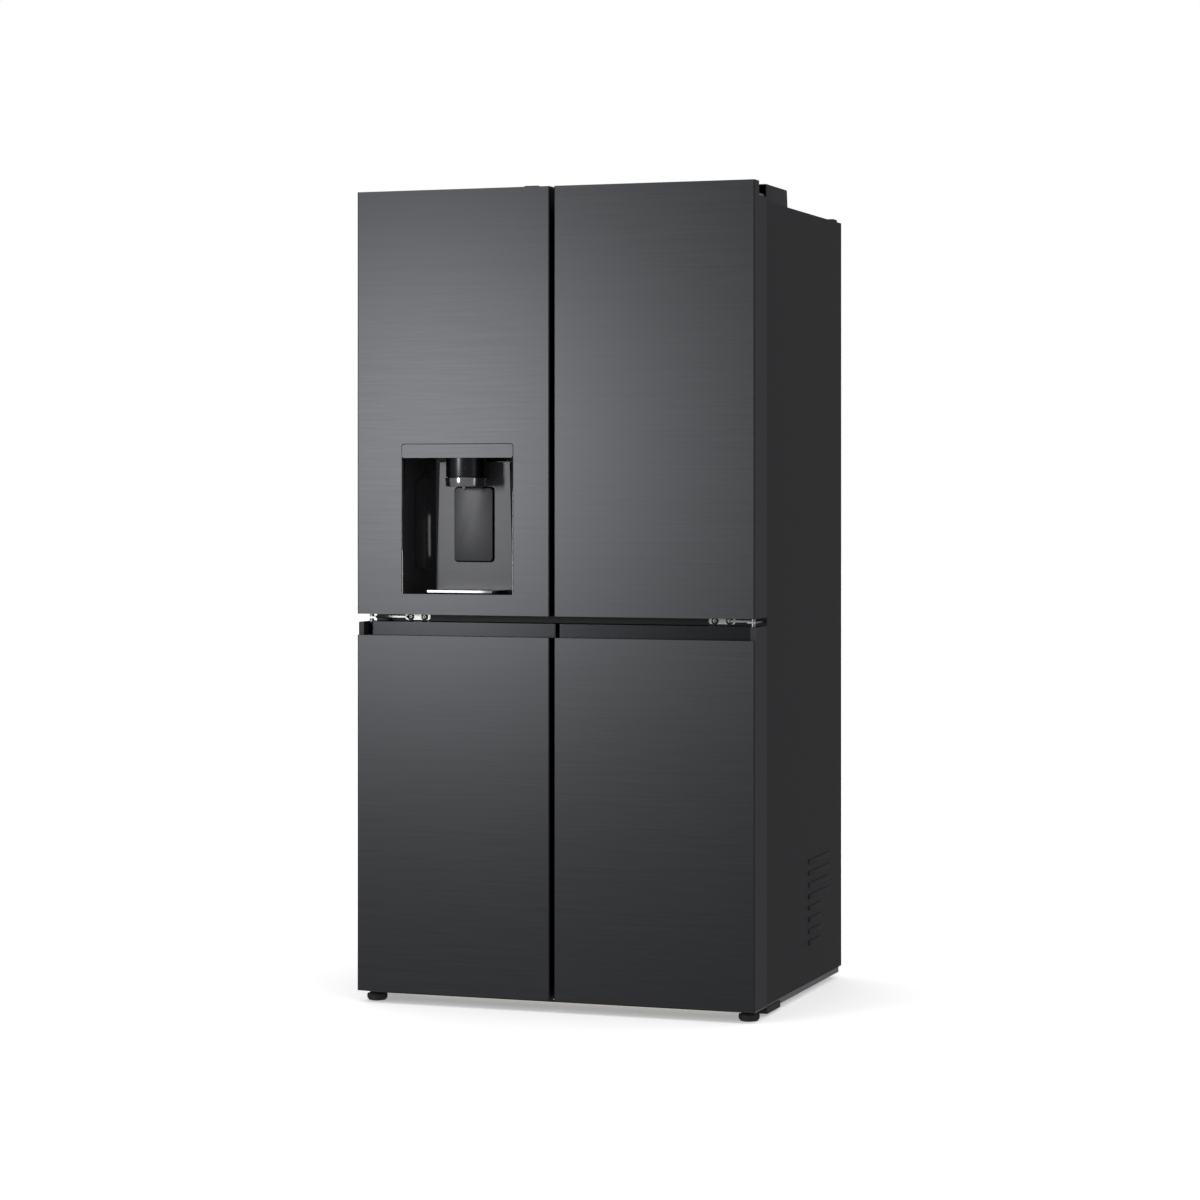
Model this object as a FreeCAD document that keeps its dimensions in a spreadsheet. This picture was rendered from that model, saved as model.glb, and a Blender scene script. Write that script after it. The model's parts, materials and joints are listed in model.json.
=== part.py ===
"""French door refrigerator: two doors above, two freezer doors below, water dispenser on the left.

Millimetres. +Z is up, the doors face -Y, +X is to the right of somebody who faces the doors.
The origin is on the floor, under the middle of the overall box.
"""
import FreeCAD, Part
import Sketcher
import os
import re

# ---------------------------------------------------------------- driving dimensions
SIZES = {
    # overall
    "overall_width": 914, "overall_depth": 728, "overall_height": 1793,
    # doors
    "door_thickness": 92, "door_gap": 10.6, "door_skin": 1, "door_edge_radius": 3,
    "sensor_cap_height": 6, "door_bottom": 26, "upper_door_bottom": 857, "lower_door_top": 839,
    "cap_thickness": 14, "front_panel_top": 810,
    "gasket_width": 14, "gasket_thickness": 10.6, "gasket_clearance": 0.4, "gasket_inset": 18,
    "dyke_reach": 36, "dyke_wall": 16, "dyke_side_inset": 54, "dyke_centre_inset": 42, "dyke_end_inset": 42,
    # lower door pocket handle
    "strip_depth": 38, "strip_thickness": 1.2, "pocket_front": 13, "pocket_drop": 36,
    "pocket_end_wall": 12, "end_wall_setback": 9,
    # cabinet
    "side_inset": 3, "case_sheet": 1.2, "cabinet_top_drop": 38, "cabinet_bottom": 26,
    "rear_cover_depth": 14, "side_insulation": 45, "back_insulation": 55, "top_insulation": 50,
    "liner_wall": 2, "fridge_floor": 878, "freezer_ceiling": 805, "freezer_floor": 102,
    "centre_partition": 70, "machine_front": 425, "machine_top": 305, "machine_insulation": 40,
    "rail_overlap": 19, "rail_drop": 36, "rail_rise": 9, "rail_end_inset": 14,
    # side louvres
    "louvre_start": 437, "louvre_long": 168, "louvre_short": 93, "louvre_pitch": 26,
    "louvre_first": 110, "louvre_height": 5, "louvre_proud": 2,
    # hinges
    "pivot_inset": 16, "pivot_depth": 45, "pin_radius": 5, "pin_reach": 10, "pin_clearance": 0.4,
    "arm_half_width": 6, "hinge_plate": 4, "notch_drop": 30, "notch_start": 34, "notch_inner": 30,
    "cover_start": 108, "cover_end": 273, "cover_width": 100, "cover_wall": 2,
    "mid_plate_inner": 324, "mid_plate_outer": 385, "mid_plate_height": 14, "mid_screw_spacing": 33,
    # dispenser
    "dispenser_left": 350, "dispenser_right": 90, "panel_bottom": 1200.5, "panel_top": 1230,
    "recess_bottom": 902, "recess_depth": 106, "panel_groove": 1.5, "panel_corner": 5,
    "housing_wall": 3, "back_top_left": 303, "back_top_right": 137,
    "nozzle_radius": 45, "nozzle_depth": 55, "nozzle_bottom": 1157, "ring_radius": 46.5,
    "ring_bottom": 1137.6, "spout_radius": 5, "spout_bottom": 1129.7, "spout_forward": 15,
    "paddle_width": 90, "paddle_bottom": 973, "paddle_top": 1134.6, "paddle_front": 98,
    "paddle_thickness": 4, "paddle_travel": 15, "paddle_corner": 8,
    # flap between the upper doors
    "flap_pivot_x": 26, "flap_pivot_depth": 112, "flap_half": 8, "flap_length": 52,
    # shelves and bins
    "shelf_front": 215, "shelf_thickness": 6, "shelf_low": 1075, "shelf_middle": 1240, "shelf_high": 1500,
    "rib_height": 8, "rib_reach": 12, "bin_wall": 2.5, "bin_depth": 112, "bin_height": 76,
    # drawers
    "drawer_front": 230, "drawer_outer": 372, "drawer_inner": 46, "drawer_wall": 3, "crisper_inner": 8,
    "crisper_top": 1062, "seat_clearance": 0.3, "low_drawer_top": 450, "high_drawer_bottom": 470,
    "high_drawer_top": 700,
    # feet, rollers and base
    "foot_x": 430, "foot_depth": 50, "foot_radius": 22.5, "foot_thickness": 19, "foot_stud": 5,
    "foot_bevel": 4, "roller_radius": 18, "roller_width": 22, "roller_x": 380, "roller_depth": 640,
    "axle_radius": 4, "axle_clearance": 0.4, "grille_start": 108, "grille_end": 210, "grille_bottom": 6,
    "grille_sheet": 3, "rail_width": 46, "rail_bottom": 12,
    # machinery
    "compressor_radius": 78, "compressor_height": 165, "fan_radius": 72, "fan_hub": 20,
    "inlet_radius": 13.2, "inlet_length": 12,
    "gland_radius": 9, "gland_bore": 4, "gland_length": 5, "gland_high": 140,
}

# Lines and faces that several pieces share, worked out from the driving dimensions.
DERIVED = {
    "half_width": "overall_width/2",
    "front": "-overall_depth/2",
    "rear": "overall_depth/2",
    "door_top": "overall_height - sensor_cap_height",
    "door_back": "front + door_thickness",
    "cabinet_front": "door_back + gasket_thickness + gasket_clearance",
    "cabinet_back": "rear - rear_cover_depth",
    "cabinet_half": "half_width - side_inset",
    "cabinet_top": "door_top - cabinet_top_drop",
    "case_inside": "cabinet_half - case_sheet",
    "flange_back": "cabinet_front + case_sheet",
    "liner_half": "cabinet_half - side_insulation",
    "cavity_half": "liner_half - liner_wall",
    "cavity_back": "cabinet_back - back_insulation - liner_wall",
    "fridge_ceiling": "cabinet_top - top_insulation - liner_wall",
    "partition_half": "centre_partition/2",
    "step_front": "front + machine_front - machine_insulation - liner_wall",
    "step_top": "machine_top + machine_insulation + liner_wall",
    "pivot_x": "half_width - pivot_inset",
    "pivot_y": "front + pivot_depth",
    "dispenser_x": "-(dispenser_left + dispenser_right)/2",
    "shelf_y": "front + shelf_front",
    "drawer_y": "front + drawer_front",
    "upper_gap": "upper_door_bottom - lower_door_top",
    "hinge_mid": "(upper_door_bottom + lower_door_top)/2",
    "notch_floor": "door_top - notch_drop",
    "inlet_x": "cabinet_half - 120",
    "gland_x": "inlet_x - 34",
    "inlet_z": "machine_top - 60",
    "axle_y": "front + roller_depth",
    "flap_low": "upper_door_bottom + 70",
    "flap_high": "fridge_ceiling - 20",
    "tray_z": "recess_bottom + 3.3",
    "ice_left": "-(half_width - dyke_side_inset - dyke_wall - 6)",
    "ice_right": "-(dyke_centre_inset + dyke_wall + 12)",
    "ice_low": "shelf_middle + 24",
    "ice_high": "shelf_high - 30",
    "fan_y": "front + machine_front + 140",
    "fan_z": "cabinet_bottom + 105",
}

document = FreeCAD.newDocument("french_door_refrigerator")
sheet = document.addObject("Spreadsheet::Sheet", "Sizes")
for row, (size_name, size) in enumerate(SIZES.items(), start=1):
    sheet.set(f"A{row}", size_name)
    sheet.set(f"B{row}", str(size))
    sheet.setAlias(f"B{row}", size_name)
document.recompute()

AXES = {"x": FreeCAD.Vector(1, 0, 0), "y": FreeCAD.Vector(0, 1, 0), "z": FreeCAD.Vector(0, 0, 1)}
TURNS = {
    "x": FreeCAD.Rotation(AXES["y"], 90),
    "y": FreeCAD.Rotation(AXES["x"], -90),
    "z": FreeCAD.Rotation(),
}
nodes = []


# ---------------------------------------------------------------- helpers
def expression(text):
    """A formula in plain names, as a FreeCAD expression on the sheet's cells."""
    def spell(match):
        name = match.group(0)
        if name in DERIVED:
            return "(" + expression(DERIVED[name]) + ")"
        return "Sizes." + name if name in SIZES else name
    return re.sub(r"[a-z][a-z_]*", spell, str(text))


def bind(piece, **formulas):
    for name, formula in formulas.items():
        piece.setExpression(name, expression(formula))
    return piece


def place(piece, x, y, z):
    for axis, formula in zip("xyz", (x, y, z)):
        piece.setExpression("Placement.Base." + axis, expression(formula))
    return piece


def span(low, high):
    return f"({high}) - ({low})"


def on_side(side, inner, outer):
    """A stretch of X between two distances from the centre line, on the left (-1) or right (1)."""
    return (inner, outer) if side > 0 else (f"-({outer})", f"-({inner})")


def at_side(side, distance):
    return distance if side > 0 else f"-({distance})"


def box(name, x, y, z):
    piece = document.addObject("Part::Box", name)
    bind(piece, Length=span(*x), Width=span(*y), Height=span(*z))
    return place(piece, x[0], y[0], z[0])


def rounded(name, x, y, z, along, radius, front_only=False):
    """A block whose edges along one axis are rounded: all four, or the two at the front."""
    body = document.addObject("PartDesign::Body", name)
    block = body.newObject("PartDesign::AdditiveBox", name + "_block")
    bind(block, Length=span(*x), Width=span(*y), Height=span(*z))
    document.recompute()
    edges = []
    for number, edge in enumerate(block.Shape.Edges, start=1):
        turned = abs(edge.tangentAt(edge.FirstParameter).dot(AXES[along])) > 0.99
        if turned and (not front_only or edge.CenterOfMass.y < block.Shape.BoundBox.Center.y):
            edges.append(f"Edge{number}")
    fillet = body.newObject("PartDesign::Fillet", name + "_fillet")
    fillet.Base = (block, edges)
    bind(fillet, Radius=radius)
    body.Tip = fillet
    return place(body, x[0], y[0], z[0])


def rod(name, axis, x, y, z, radius, length):
    """A cylinder that starts at a point and runs along +axis."""
    piece = document.addObject("Part::Cylinder", name)
    piece.Placement = FreeCAD.Placement(FreeCAD.Vector(), TURNS[axis])
    bind(piece, Radius=radius, Height=length)
    return place(piece, x, y, z)


def cone(name, x, y, z, radius_low, radius_high, height):
    piece = document.addObject("Part::Cone", name)
    bind(piece, Radius1=radius_low, Radius2=radius_high, Height=height)
    return place(piece, x, y, z)


def fuse(name, *pieces):
    joined = document.addObject("Part::MultiFuse", name)
    joined.Shapes = list(pieces)
    joined.Refine = True
    return joined


def cut(name, base, *tools):
    result = document.addObject("Part::Cut", name)
    result.Base = base
    result.Tool = tools[0] if len(tools) == 1 else fuse(name + "_tools", *tools)
    result.Refine = True
    return result


def group(name, *pieces):
    together = document.addObject("Part::Compound", name)
    together.Links = list(pieces)
    return together


def profile(name, plane, outline, start, length):
    """A pad of a straight-sided outline: its points are pairs of formulas in the sketch's plane.

    The sketch on the YZ plane reads (y, z) and its pad runs along +X, and one on the XZ plane
    reads (x, z) and its pad is turned to run along +Y.
    """
    body = document.addObject("PartDesign::Body", name)
    sketch = body.newObject("Sketcher::SketchObject", name + "_sketch")
    role = {"yz": "YZ_Plane", "xz": "XZ_Plane", "xy": "XY_Plane"}[plane]
    origin_plane = [face for face in body.Origin.OriginFeatures if face.Role == role][0]
    sketch.AttachmentSupport = (origin_plane, [""])
    sketch.MapMode = "FlatFace"
    count = len(outline)
    corner = [FreeCAD.Vector(10 * (k % 2) + k, 10 * (k // 2), 0) for k in range(count)]
    for k in range(count):
        sketch.addGeometry(Part.LineSegment(corner[k], corner[(k + 1) % count]))
    for k in range(count):
        sketch.addConstraint(Sketcher.Constraint("Coincident", k, 2, (k + 1) % count, 1))
    for k, point in enumerate(outline):
        for direction, formula in zip(("DistanceX", "DistanceY"), point):
            index = sketch.addConstraint(Sketcher.Constraint(direction, -1, 1, k, 1, 1.0 + k))
            sketch.setExpression(f"Constraints[{index}]", expression(formula))
    pad = body.newObject("PartDesign::Pad", name + "_pad")
    pad.Profile = sketch
    pad.Reversed = plane == "xz"
    bind(pad, Length=length)
    offset = {"yz": (start, "0", "0"), "xz": ("0", start, "0"), "xy": ("0", "0", start)}[plane]
    return place(body, *offset)


def node(piece, label):
    """A finished sub-part: its label names its file."""
    piece.Label = label
    nodes.append(piece)
    return piece


# ---------------------------------------------------------------- cabinet
def outer_case():
    """The painted steel wrap: two sides, the top and the front flange that the gaskets seal on."""
    depth = ("cabinet_front", "cabinet_back")
    flange = ("cabinet_front", "flange_back")
    tall = ("cabinet_bottom", "cabinet_top")
    pieces = [box("case_top", ("-cabinet_half", "cabinet_half"), depth, ("cabinet_top - case_sheet", "cabinet_top"))]
    for side in (-1, 1):
        pieces.append(box("case_side", on_side(side, "case_inside", "cabinet_half"), depth, tall))
        pieces.append(box("side_flange", on_side(side, "liner_half", "cabinet_half"), flange, tall))
    across = ("-liner_half", "liner_half")
    rails = {
        "top_flange": ("fridge_ceiling + liner_wall", "cabinet_top"),
        "middle_flange": ("freezer_ceiling + liner_wall", "fridge_floor - liner_wall"),
        "bottom_flange": ("cabinet_bottom", "freezer_floor - liner_wall"),
    }
    for name, heights in rails.items():
        pieces.append(box(name, across, flange, heights))
    pieces.append(box("centre_flange", ("-partition_half", "partition_half"), flange,
                      ("freezer_floor - liner_wall", "freezer_ceiling + liner_wall")))
    slots, hoods = [], []
    for side in (-1, 1):
        for row in range(8):
            length = "louvre_short" if row < 4 else "louvre_long"
            foot = f"louvre_first + {row}*louvre_pitch"
            along = ("front + louvre_start", f"front + louvre_start + {length}")
            slots.append(box("louvre_slot", on_side(side, "case_inside - 1", "cabinet_half + 1"), along,
                             (foot, foot + " + louvre_height")))
            hoods.append(box("louvre_hood", on_side(side, "case_inside", "cabinet_half + louvre_proud"), along,
                             (foot + " + louvre_height", foot + " + 2*louvre_height - 2")))
    wrap = fuse("case_wrap", *pieces, *hoods)
    return node(cut("outer_case", wrap, *slots), "outer_case")


def cabinet_foam():
    """Foamed insulation between the case and the liners, stepped up over the machine compartment."""
    block = box("foam_block", ("-case_inside", "case_inside"), ("flange_back", "cabinet_back - case_sheet"),
                ("cabinet_bottom", "cabinet_top - case_sheet"))
    fridge = box("foam_fridge", ("-liner_half", "liner_half"), ("front", "cavity_back + liner_wall"),
                 ("fridge_floor - liner_wall", "fridge_ceiling + liner_wall"))
    machine = box("foam_machine", ("-overall_width", "overall_width"), ("front + machine_front", "overall_depth"),
                  ("0", "machine_top"))
    freezers = []
    for side in (-1, 1):
        freezers.append(stepped_space("foam_freezer", side, "liner_wall", "front"))
    return node(cut("cabinet_foam", block, fridge, machine, *freezers), "cabinet_foam")


def stepped_space(name, side, wall, face):
    """One freezer space, with a wall's thickness added all round, from a face back over the step."""
    low, high = f"freezer_floor - {wall}", f"freezer_ceiling + {wall}"
    outline = [(face, low), (f"step_front + {wall}", low), (f"step_front + {wall}", f"step_top - {wall}"),
               (f"cavity_back + {wall}", f"step_top - {wall}"), (f"cavity_back + {wall}", high), (face, high)]
    x = on_side(side, f"partition_half + liner_wall - {wall}", f"cavity_half + {wall}")
    return profile(name, "yz", outline, x[0], span(*x))


def fridge_liner():
    """The moulded liner of the fresh food space, with a rib under each end of every shelf."""
    shell = box("fridge_shell", ("-liner_half", "liner_half"), ("flange_back", "cavity_back + liner_wall"),
                ("fridge_floor - liner_wall", "fridge_ceiling + liner_wall"))
    hollow = box("fridge_hollow", ("-cavity_half", "cavity_half"), ("front", "cavity_back"),
                 ("fridge_floor", "fridge_ceiling"))
    ribs = []
    for level in ("shelf_low", "shelf_middle", "shelf_high"):
        for side in (-1, 1):
            ribs.append(box("shelf_rib", on_side(side, "cavity_half - rib_reach", "cavity_half"),
                            ("shelf_y", "cavity_back"), (f"{level} - rib_height", level)))
    ribs.append(box("crisper_divider", ("-crisper_inner + 2", "crisper_inner - 2"), ("drawer_y + 6", "cavity_back"),
                    ("fridge_floor", "shelf_low - rib_height")))
    return node(fuse("fridge_liner", cut("fridge_cavity", shell, hollow), *ribs), "fridge_liner")


def freezer_liners():
    """Two freezer liners side by side, each stepped over the machinery, with runners for its drawers."""
    liners = []
    for side in (-1, 1):
        shell = stepped_space("freezer_shell", side, "liner_wall", "flange_back")
        hollow = stepped_space("freezer_hollow", side, "0", "front")
        runner = ("high_drawer_bottom - rib_height - seat_clearance", "high_drawer_bottom - seat_clearance")
        outer = box("outer_runner", on_side(side, "drawer_outer - rib_reach", "cavity_half"),
                    ("drawer_y", "cavity_back"), runner)
        inner = box("inner_runner", on_side(side, "partition_half + liner_wall", "drawer_inner + rib_reach"),
                    ("drawer_y", "cavity_back"), runner)
        liners.append(fuse("freezer_liner", cut("freezer_cavity", shell, hollow), outer, inner))
    return node(group("freezer_liners", *liners), "freezer_liners")


def rear_panels():
    """The back sheet, the vented cover of the machine compartment and the rail along the top edge."""
    node(box("back_panel", ("-case_inside", "case_inside"), ("cabinet_back - case_sheet", "cabinet_back"),
             ("machine_top", "cabinet_top - case_sheet")), "back_panel")
    cover = box("cover_sheet", ("-case_inside", "case_inside"), ("cabinet_back - case_sheet", "cabinet_back"),
                ("cabinet_bottom", "machine_top"))
    openings = [box("cover_slot", (f"-cabinet_half + 70 + {column}*50", f"-cabinet_half + 108 + {column}*50"),
                    ("cabinet_back - 20", "cabinet_back + 20"), (f"90 + {row}*24", f"98 + {row}*24"))
                for column in range(12) for row in range(7)]
    openings.append(rod("inlet_hole", "y", "inlet_x", "cabinet_back - 20", "inlet_z",
                        "inlet_radius + 1", "40"))
    openings.append(rod("gland_hole", "y", "gland_x", "cabinet_back - 20", "gland_high", "gland_bore", "40"))
    gland = rod("cord_gland", "y", "gland_x", "cabinet_back - case_sheet", "gland_high", "gland_radius",
                "case_sheet + gland_length")
    node(cut("machine_cover", fuse("cover_with_gland", cover, gland), *openings), "machine_cover")
    outline = [("cabinet_back - rail_overlap", "cabinet_top"), ("cabinet_back - rail_overlap", "cabinet_top + rail_rise"),
               ("rear", "cabinet_top + rail_rise"), ("rear", "cabinet_top - rail_drop"),
               ("cabinet_back", "cabinet_top - rail_drop"), ("cabinet_back", "cabinet_top")]
    node(profile("rear_top_rail", "yz", outline, "-cabinet_half + rail_end_inset",
                 "2*(cabinet_half - rail_end_inset)"), "rear_top_rail")


def base():
    """Side channels, cross members and the machine tray that carry the cabinet, and the front grille."""
    members = [box("machine_tray", ("-case_inside", "case_inside"),
                   ("front + machine_front", "cabinet_back - case_sheet"), ("cabinet_bottom", "cabinet_bottom + 3"))]
    wells = []
    for side in (-1, 1):
        members.append(box("side_channel", on_side(side, "cabinet_half - rail_width", "cabinet_half - 4"),
                           ("cabinet_front + 8", "cabinet_back - 10"), ("rail_bottom", "cabinet_bottom")))
        members.append(box("axle_lug", on_side(side, "roller_x - 12", "roller_x - 4"),
                           ("axle_y - 12", "axle_y + 12"), ("8", "cabinet_bottom")))
        axle_start = "roller_x - 12" if side > 0 else "-(cabinet_half - rail_width)"
        members.append(rod("roller_axle", "x", axle_start, "axle_y", "roller_radius", "axle_radius",
                           "cabinet_half - rail_width - roller_x + 12"))
        wells.append(box("wheel_well", on_side(side, "roller_x - 3", "roller_x + roller_width + 3"),
                         ("axle_y - 24", "axle_y + 24"), ("cabinet_bottom - 2", "cabinet_bottom + 14")))
    for y in ("cabinet_front + 8", "cabinet_back - 50"):
        members.append(box("cross_member", ("-cabinet_half + 10", "cabinet_half - 10"), (y, f"{y} + 34"),
                           ("cabinet_bottom - 3", "cabinet_bottom")))
    node(cut("base_frame", fuse("frame_members", *members), *wells), "base_frame")
    grille_z = ("grille_bottom", "cabinet_bottom - 6")
    sheets = [box("grille_face", ("-cabinet_half + 4", "cabinet_half - 4"),
                  ("front + grille_start", "front + grille_start + grille_sheet"), grille_z)]
    for side in (-1, 1):
        sheets.append(box("grille_end", on_side(side, "cabinet_half - 4", "cabinet_half - 1"),
                          ("front + grille_start", "front + grille_end"), grille_z))
    slots = [box("grille_slot", (f"-360 + {k}*24", f"-344 + {k}*24"), ("front", "cabinet_front + 20"),
                 ("grille_bottom + 5", "cabinet_bottom - 9")) for k in range(30)]
    node(cut("base_grille", fuse("grille_sheets", *sheets), *slots), "base_grille")


def foot(side):
    name = "levelling_foot_left" if side < 0 else "levelling_foot_right"
    x, y = at_side(side, "foot_x"), "front + foot_depth"
    pieces = [cone("foot_bevel_part", x, y, "0", "foot_radius - foot_bevel", "foot_radius", "foot_bevel"),
              rod("foot_disc", "z", x, y, "foot_bevel", "foot_radius", "foot_thickness - foot_bevel - 1"),
              rod("foot_stud_part", "z", x, y, "foot_thickness - 2", "foot_stud", "door_bottom - foot_thickness")]
    node(fuse(name, *pieces), name)


def roller(side):
    name = "rear_roller_left" if side < 0 else "rear_roller_right"
    start = "roller_x" if side > 0 else "-(roller_x + roller_width)"
    wheel = rod("wheel", "x", start, "axle_y", "roller_radius", "roller_radius", "roller_width")
    bore = rod("wheel_bore", "x", start + " - 1", "axle_y", "roller_radius", "axle_radius + axle_clearance",
               "roller_width + 2")
    node(cut(name, wheel, bore), name)


# ---------------------------------------------------------------- hinges
def hinges():
    """Top and middle door hinges, the lower brackets, the top covers and the plates' screws."""
    fixed, lower, covers, screws = [], [], [], []
    for side in (-1, 1):
        pin_x = at_side(side, "pivot_x")
        arm_x = on_side(side, "pivot_x - 2*arm_half_width", "pivot_x + arm_half_width")
        # top: a plate on the cabinet, an arm into the door's notch and a pin down into the door
        arm_z = ("notch_floor + 3", "notch_floor + 3 + hinge_plate")
        top = [box("top_arm", arm_x, ("pivot_y - arm_half_width", "front + cover_start + 10"), arm_z),
               box("top_plate", on_side(side, "cabinet_half - cover_width + 8", "cabinet_half - 8"),
                   ("front + cover_start + 10", "front + cover_start + 110"), ("cabinet_top", "notch_floor + 7")),
               rod("top_pin", "z", pin_x, "pivot_y", "notch_floor + 3 - pin_reach", "pin_radius", "pin_reach")]
        fixed.append(fuse("top_hinge", *top))
        # middle: an upright plate on the cross rail, an arm in the gap and a pin each way
        plate = ("hinge_mid - hinge_plate/2", "hinge_mid + hinge_plate/2")
        middle = [rounded("mid_plate", on_side(side, "mid_plate_inner", "mid_plate_outer"),
                          ("cabinet_front - 2", "cabinet_front"),
                          ("hinge_mid - mid_plate_height/2", "hinge_mid + mid_plate_height/2"), "y",
                          "mid_plate_height/2 - 0.5"),
                  box("mid_foot", on_side(side, "mid_plate_outer - 8", "pivot_x + arm_half_width"),
                      ("cabinet_front - 14", "cabinet_front"), plate),
                  box("mid_arm", arm_x, ("pivot_y - arm_half_width", "cabinet_front - 10"), plate),
                  rod("mid_pin", "z", pin_x, "pivot_y", "lower_door_top - pin_reach + 2", "pin_radius",
                      "upper_gap + 2*pin_reach - 4")]
        fixed.append(fuse("mid_hinge", *middle))
        for offset in ("-mid_screw_spacing/2", "mid_screw_spacing/2"):
            head_x = at_side(side, f"(mid_plate_inner + mid_plate_outer)/2 + {offset}")
            screws.append(rod("mid_screw", "y", head_x, "cabinet_front - 4", "hinge_mid", "4.5", "2"))
        for offset in ("30", "70"):
            screws.append(rod("top_screw", "z", at_side(side, "cabinet_half - cover_width/2"),
                              f"front + cover_start + 10 + {offset}", "notch_floor + 7", "5", "4"))
        # bottom: one plate that carries the door's pin and takes the foot's stud
        slab = box("low_plate", on_side(side, "pivot_x - 40", "pivot_x + 10"),
                   ("front + foot_depth - 20", "cabinet_front + 7.5"),
                   ("cabinet_bottom - 5.5", "cabinet_bottom - 0.6"))
        stop = box("low_web", on_side(side, "pivot_x - 30", "pivot_x - 10"), ("cabinet_front + 2", "cabinet_front + 7.5"),
                   ("cabinet_bottom - 0.6", "cabinet_bottom"))
        pin = rod("low_pin", "z", pin_x, "pivot_y", "cabinet_bottom - 1", "pin_radius", "pin_reach")
        stud_hole = rod("stud_hole", "z", at_side(side, "foot_x"), "front + foot_depth", "0",
                        "foot_stud + 0.4", "cabinet_bottom + 4")
        lower.append(fuse("lower_hinge", cut("lower_plate", fuse("low_slab", slab, stop), stud_hole), pin))
        shell = rounded("cover_shell", on_side(side, "cabinet_half - cover_width", "cabinet_half - 2"),
                        ("front + cover_start", "front + cover_end"), ("cabinet_top", "door_top"), "z", "2*cover_wall")
        hollow = box("cover_hollow", on_side(side, "cabinet_half - cover_width + cover_wall", "cabinet_half - 4"),
                     ("front + cover_start - 5", "front + cover_end - cover_wall"),
                     ("cabinet_top - 1", "door_top - cover_wall"))
        covers.append(cut("hinge_cover", shell, hollow))
    node(group("door_hinges", *fixed), "door_hinges")
    node(group("lower_hinges", *lower), "lower_hinges")
    node(group("hinge_screws", *screws), "hinge_screws")
    node(group("hinge_covers", *covers), "hinge_covers")


# ---------------------------------------------------------------- doors
def door_span(side, inner="0", outer="0"):
    """The X stretch of a door, drawn in by the two amounts at its centre and hinge sides."""
    return on_side(side, f"door_gap/2 + {inner}", f"half_width - ({outer})")


def pin_bore(side, z, length):
    return rod("pin_bore", "z", at_side(side, "pivot_x"), "pivot_y", z, "pin_radius + pin_clearance", length)


def door_skin(name, side, heights, holes):
    """A folded steel sheet: the front and both edges, with the front upright edges rounded."""
    outer = rounded(name + "_sheet", door_span(side), ("front", "door_back"), heights, "z",
                    "door_edge_radius", front_only=True)
    inside = box(name + "_inside", door_span(side, "door_skin", "door_skin"),
                 ("front + door_skin", "door_back + 1"), (f"{heights[0]} - 1", f"{heights[1]} + 1"))
    node(cut(name, outer, inside, *holes), name)


def gasket(name, side, heights):
    """The magnetic seal: a square ring between the door and the cabinet's flange."""
    low, high = heights
    y = ("door_back", "door_back + gasket_thickness")
    ring = box(name + "_ring", door_span(side, "2", "gasket_inset"), y,
               (f"{low} + gasket_inset", f"{high} - gasket_inset"))
    hole = box(name + "_hole", door_span(side, "2 + gasket_width", "gasket_inset + gasket_width"),
               ("front", "rear"), (f"{low} + gasket_inset + gasket_width", f"{high} - gasket_inset - gasket_width"))
    node(cut(name, ring, hole), name)


def dyke(name, side, heights):
    """The raised rim of a door's inner liner, which goes into the cabinet's space."""
    low, high = heights
    y = ("door_back", "door_back + dyke_reach")
    ring = box(name + "_rim", door_span(side, "dyke_centre_inset", "dyke_side_inset"), y,
               (f"{low} + dyke_end_inset", f"{high} - dyke_end_inset"))
    hole = box(name + "_rim_hole", door_span(side, "dyke_centre_inset + dyke_wall", "dyke_side_inset + dyke_wall"),
               ("front", "rear"), (f"{low} + dyke_end_inset + dyke_wall", f"{high} - dyke_end_inset - dyke_wall"))
    return cut(name + "_dyke", ring, hole)


def bins(name, side, levels):
    """Open-topped door bins that hang between the two sides of the liner's rim."""
    x = door_span(side, "dyke_centre_inset + dyke_wall + 0.3", "dyke_side_inset + dyke_wall + 0.3")
    y = ("door_back + 0.3", "door_back + bin_depth")
    trays = []
    for level in levels:
        tray = rounded("bin_block", x, y, (level, f"{level} + bin_height"), "z", "2*bin_wall")
        hollow = box("bin_hollow", (f"{x[0]} + bin_wall", f"{x[1]} - bin_wall"),
                     (f"{y[0]} + bin_wall", f"{y[1]} - bin_wall"), (f"{level} + bin_wall", f"{level} + bin_height + 5"))
        trays.append(cut("bin_tray", tray, hollow))
    node(group(name, *trays), name)


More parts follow.
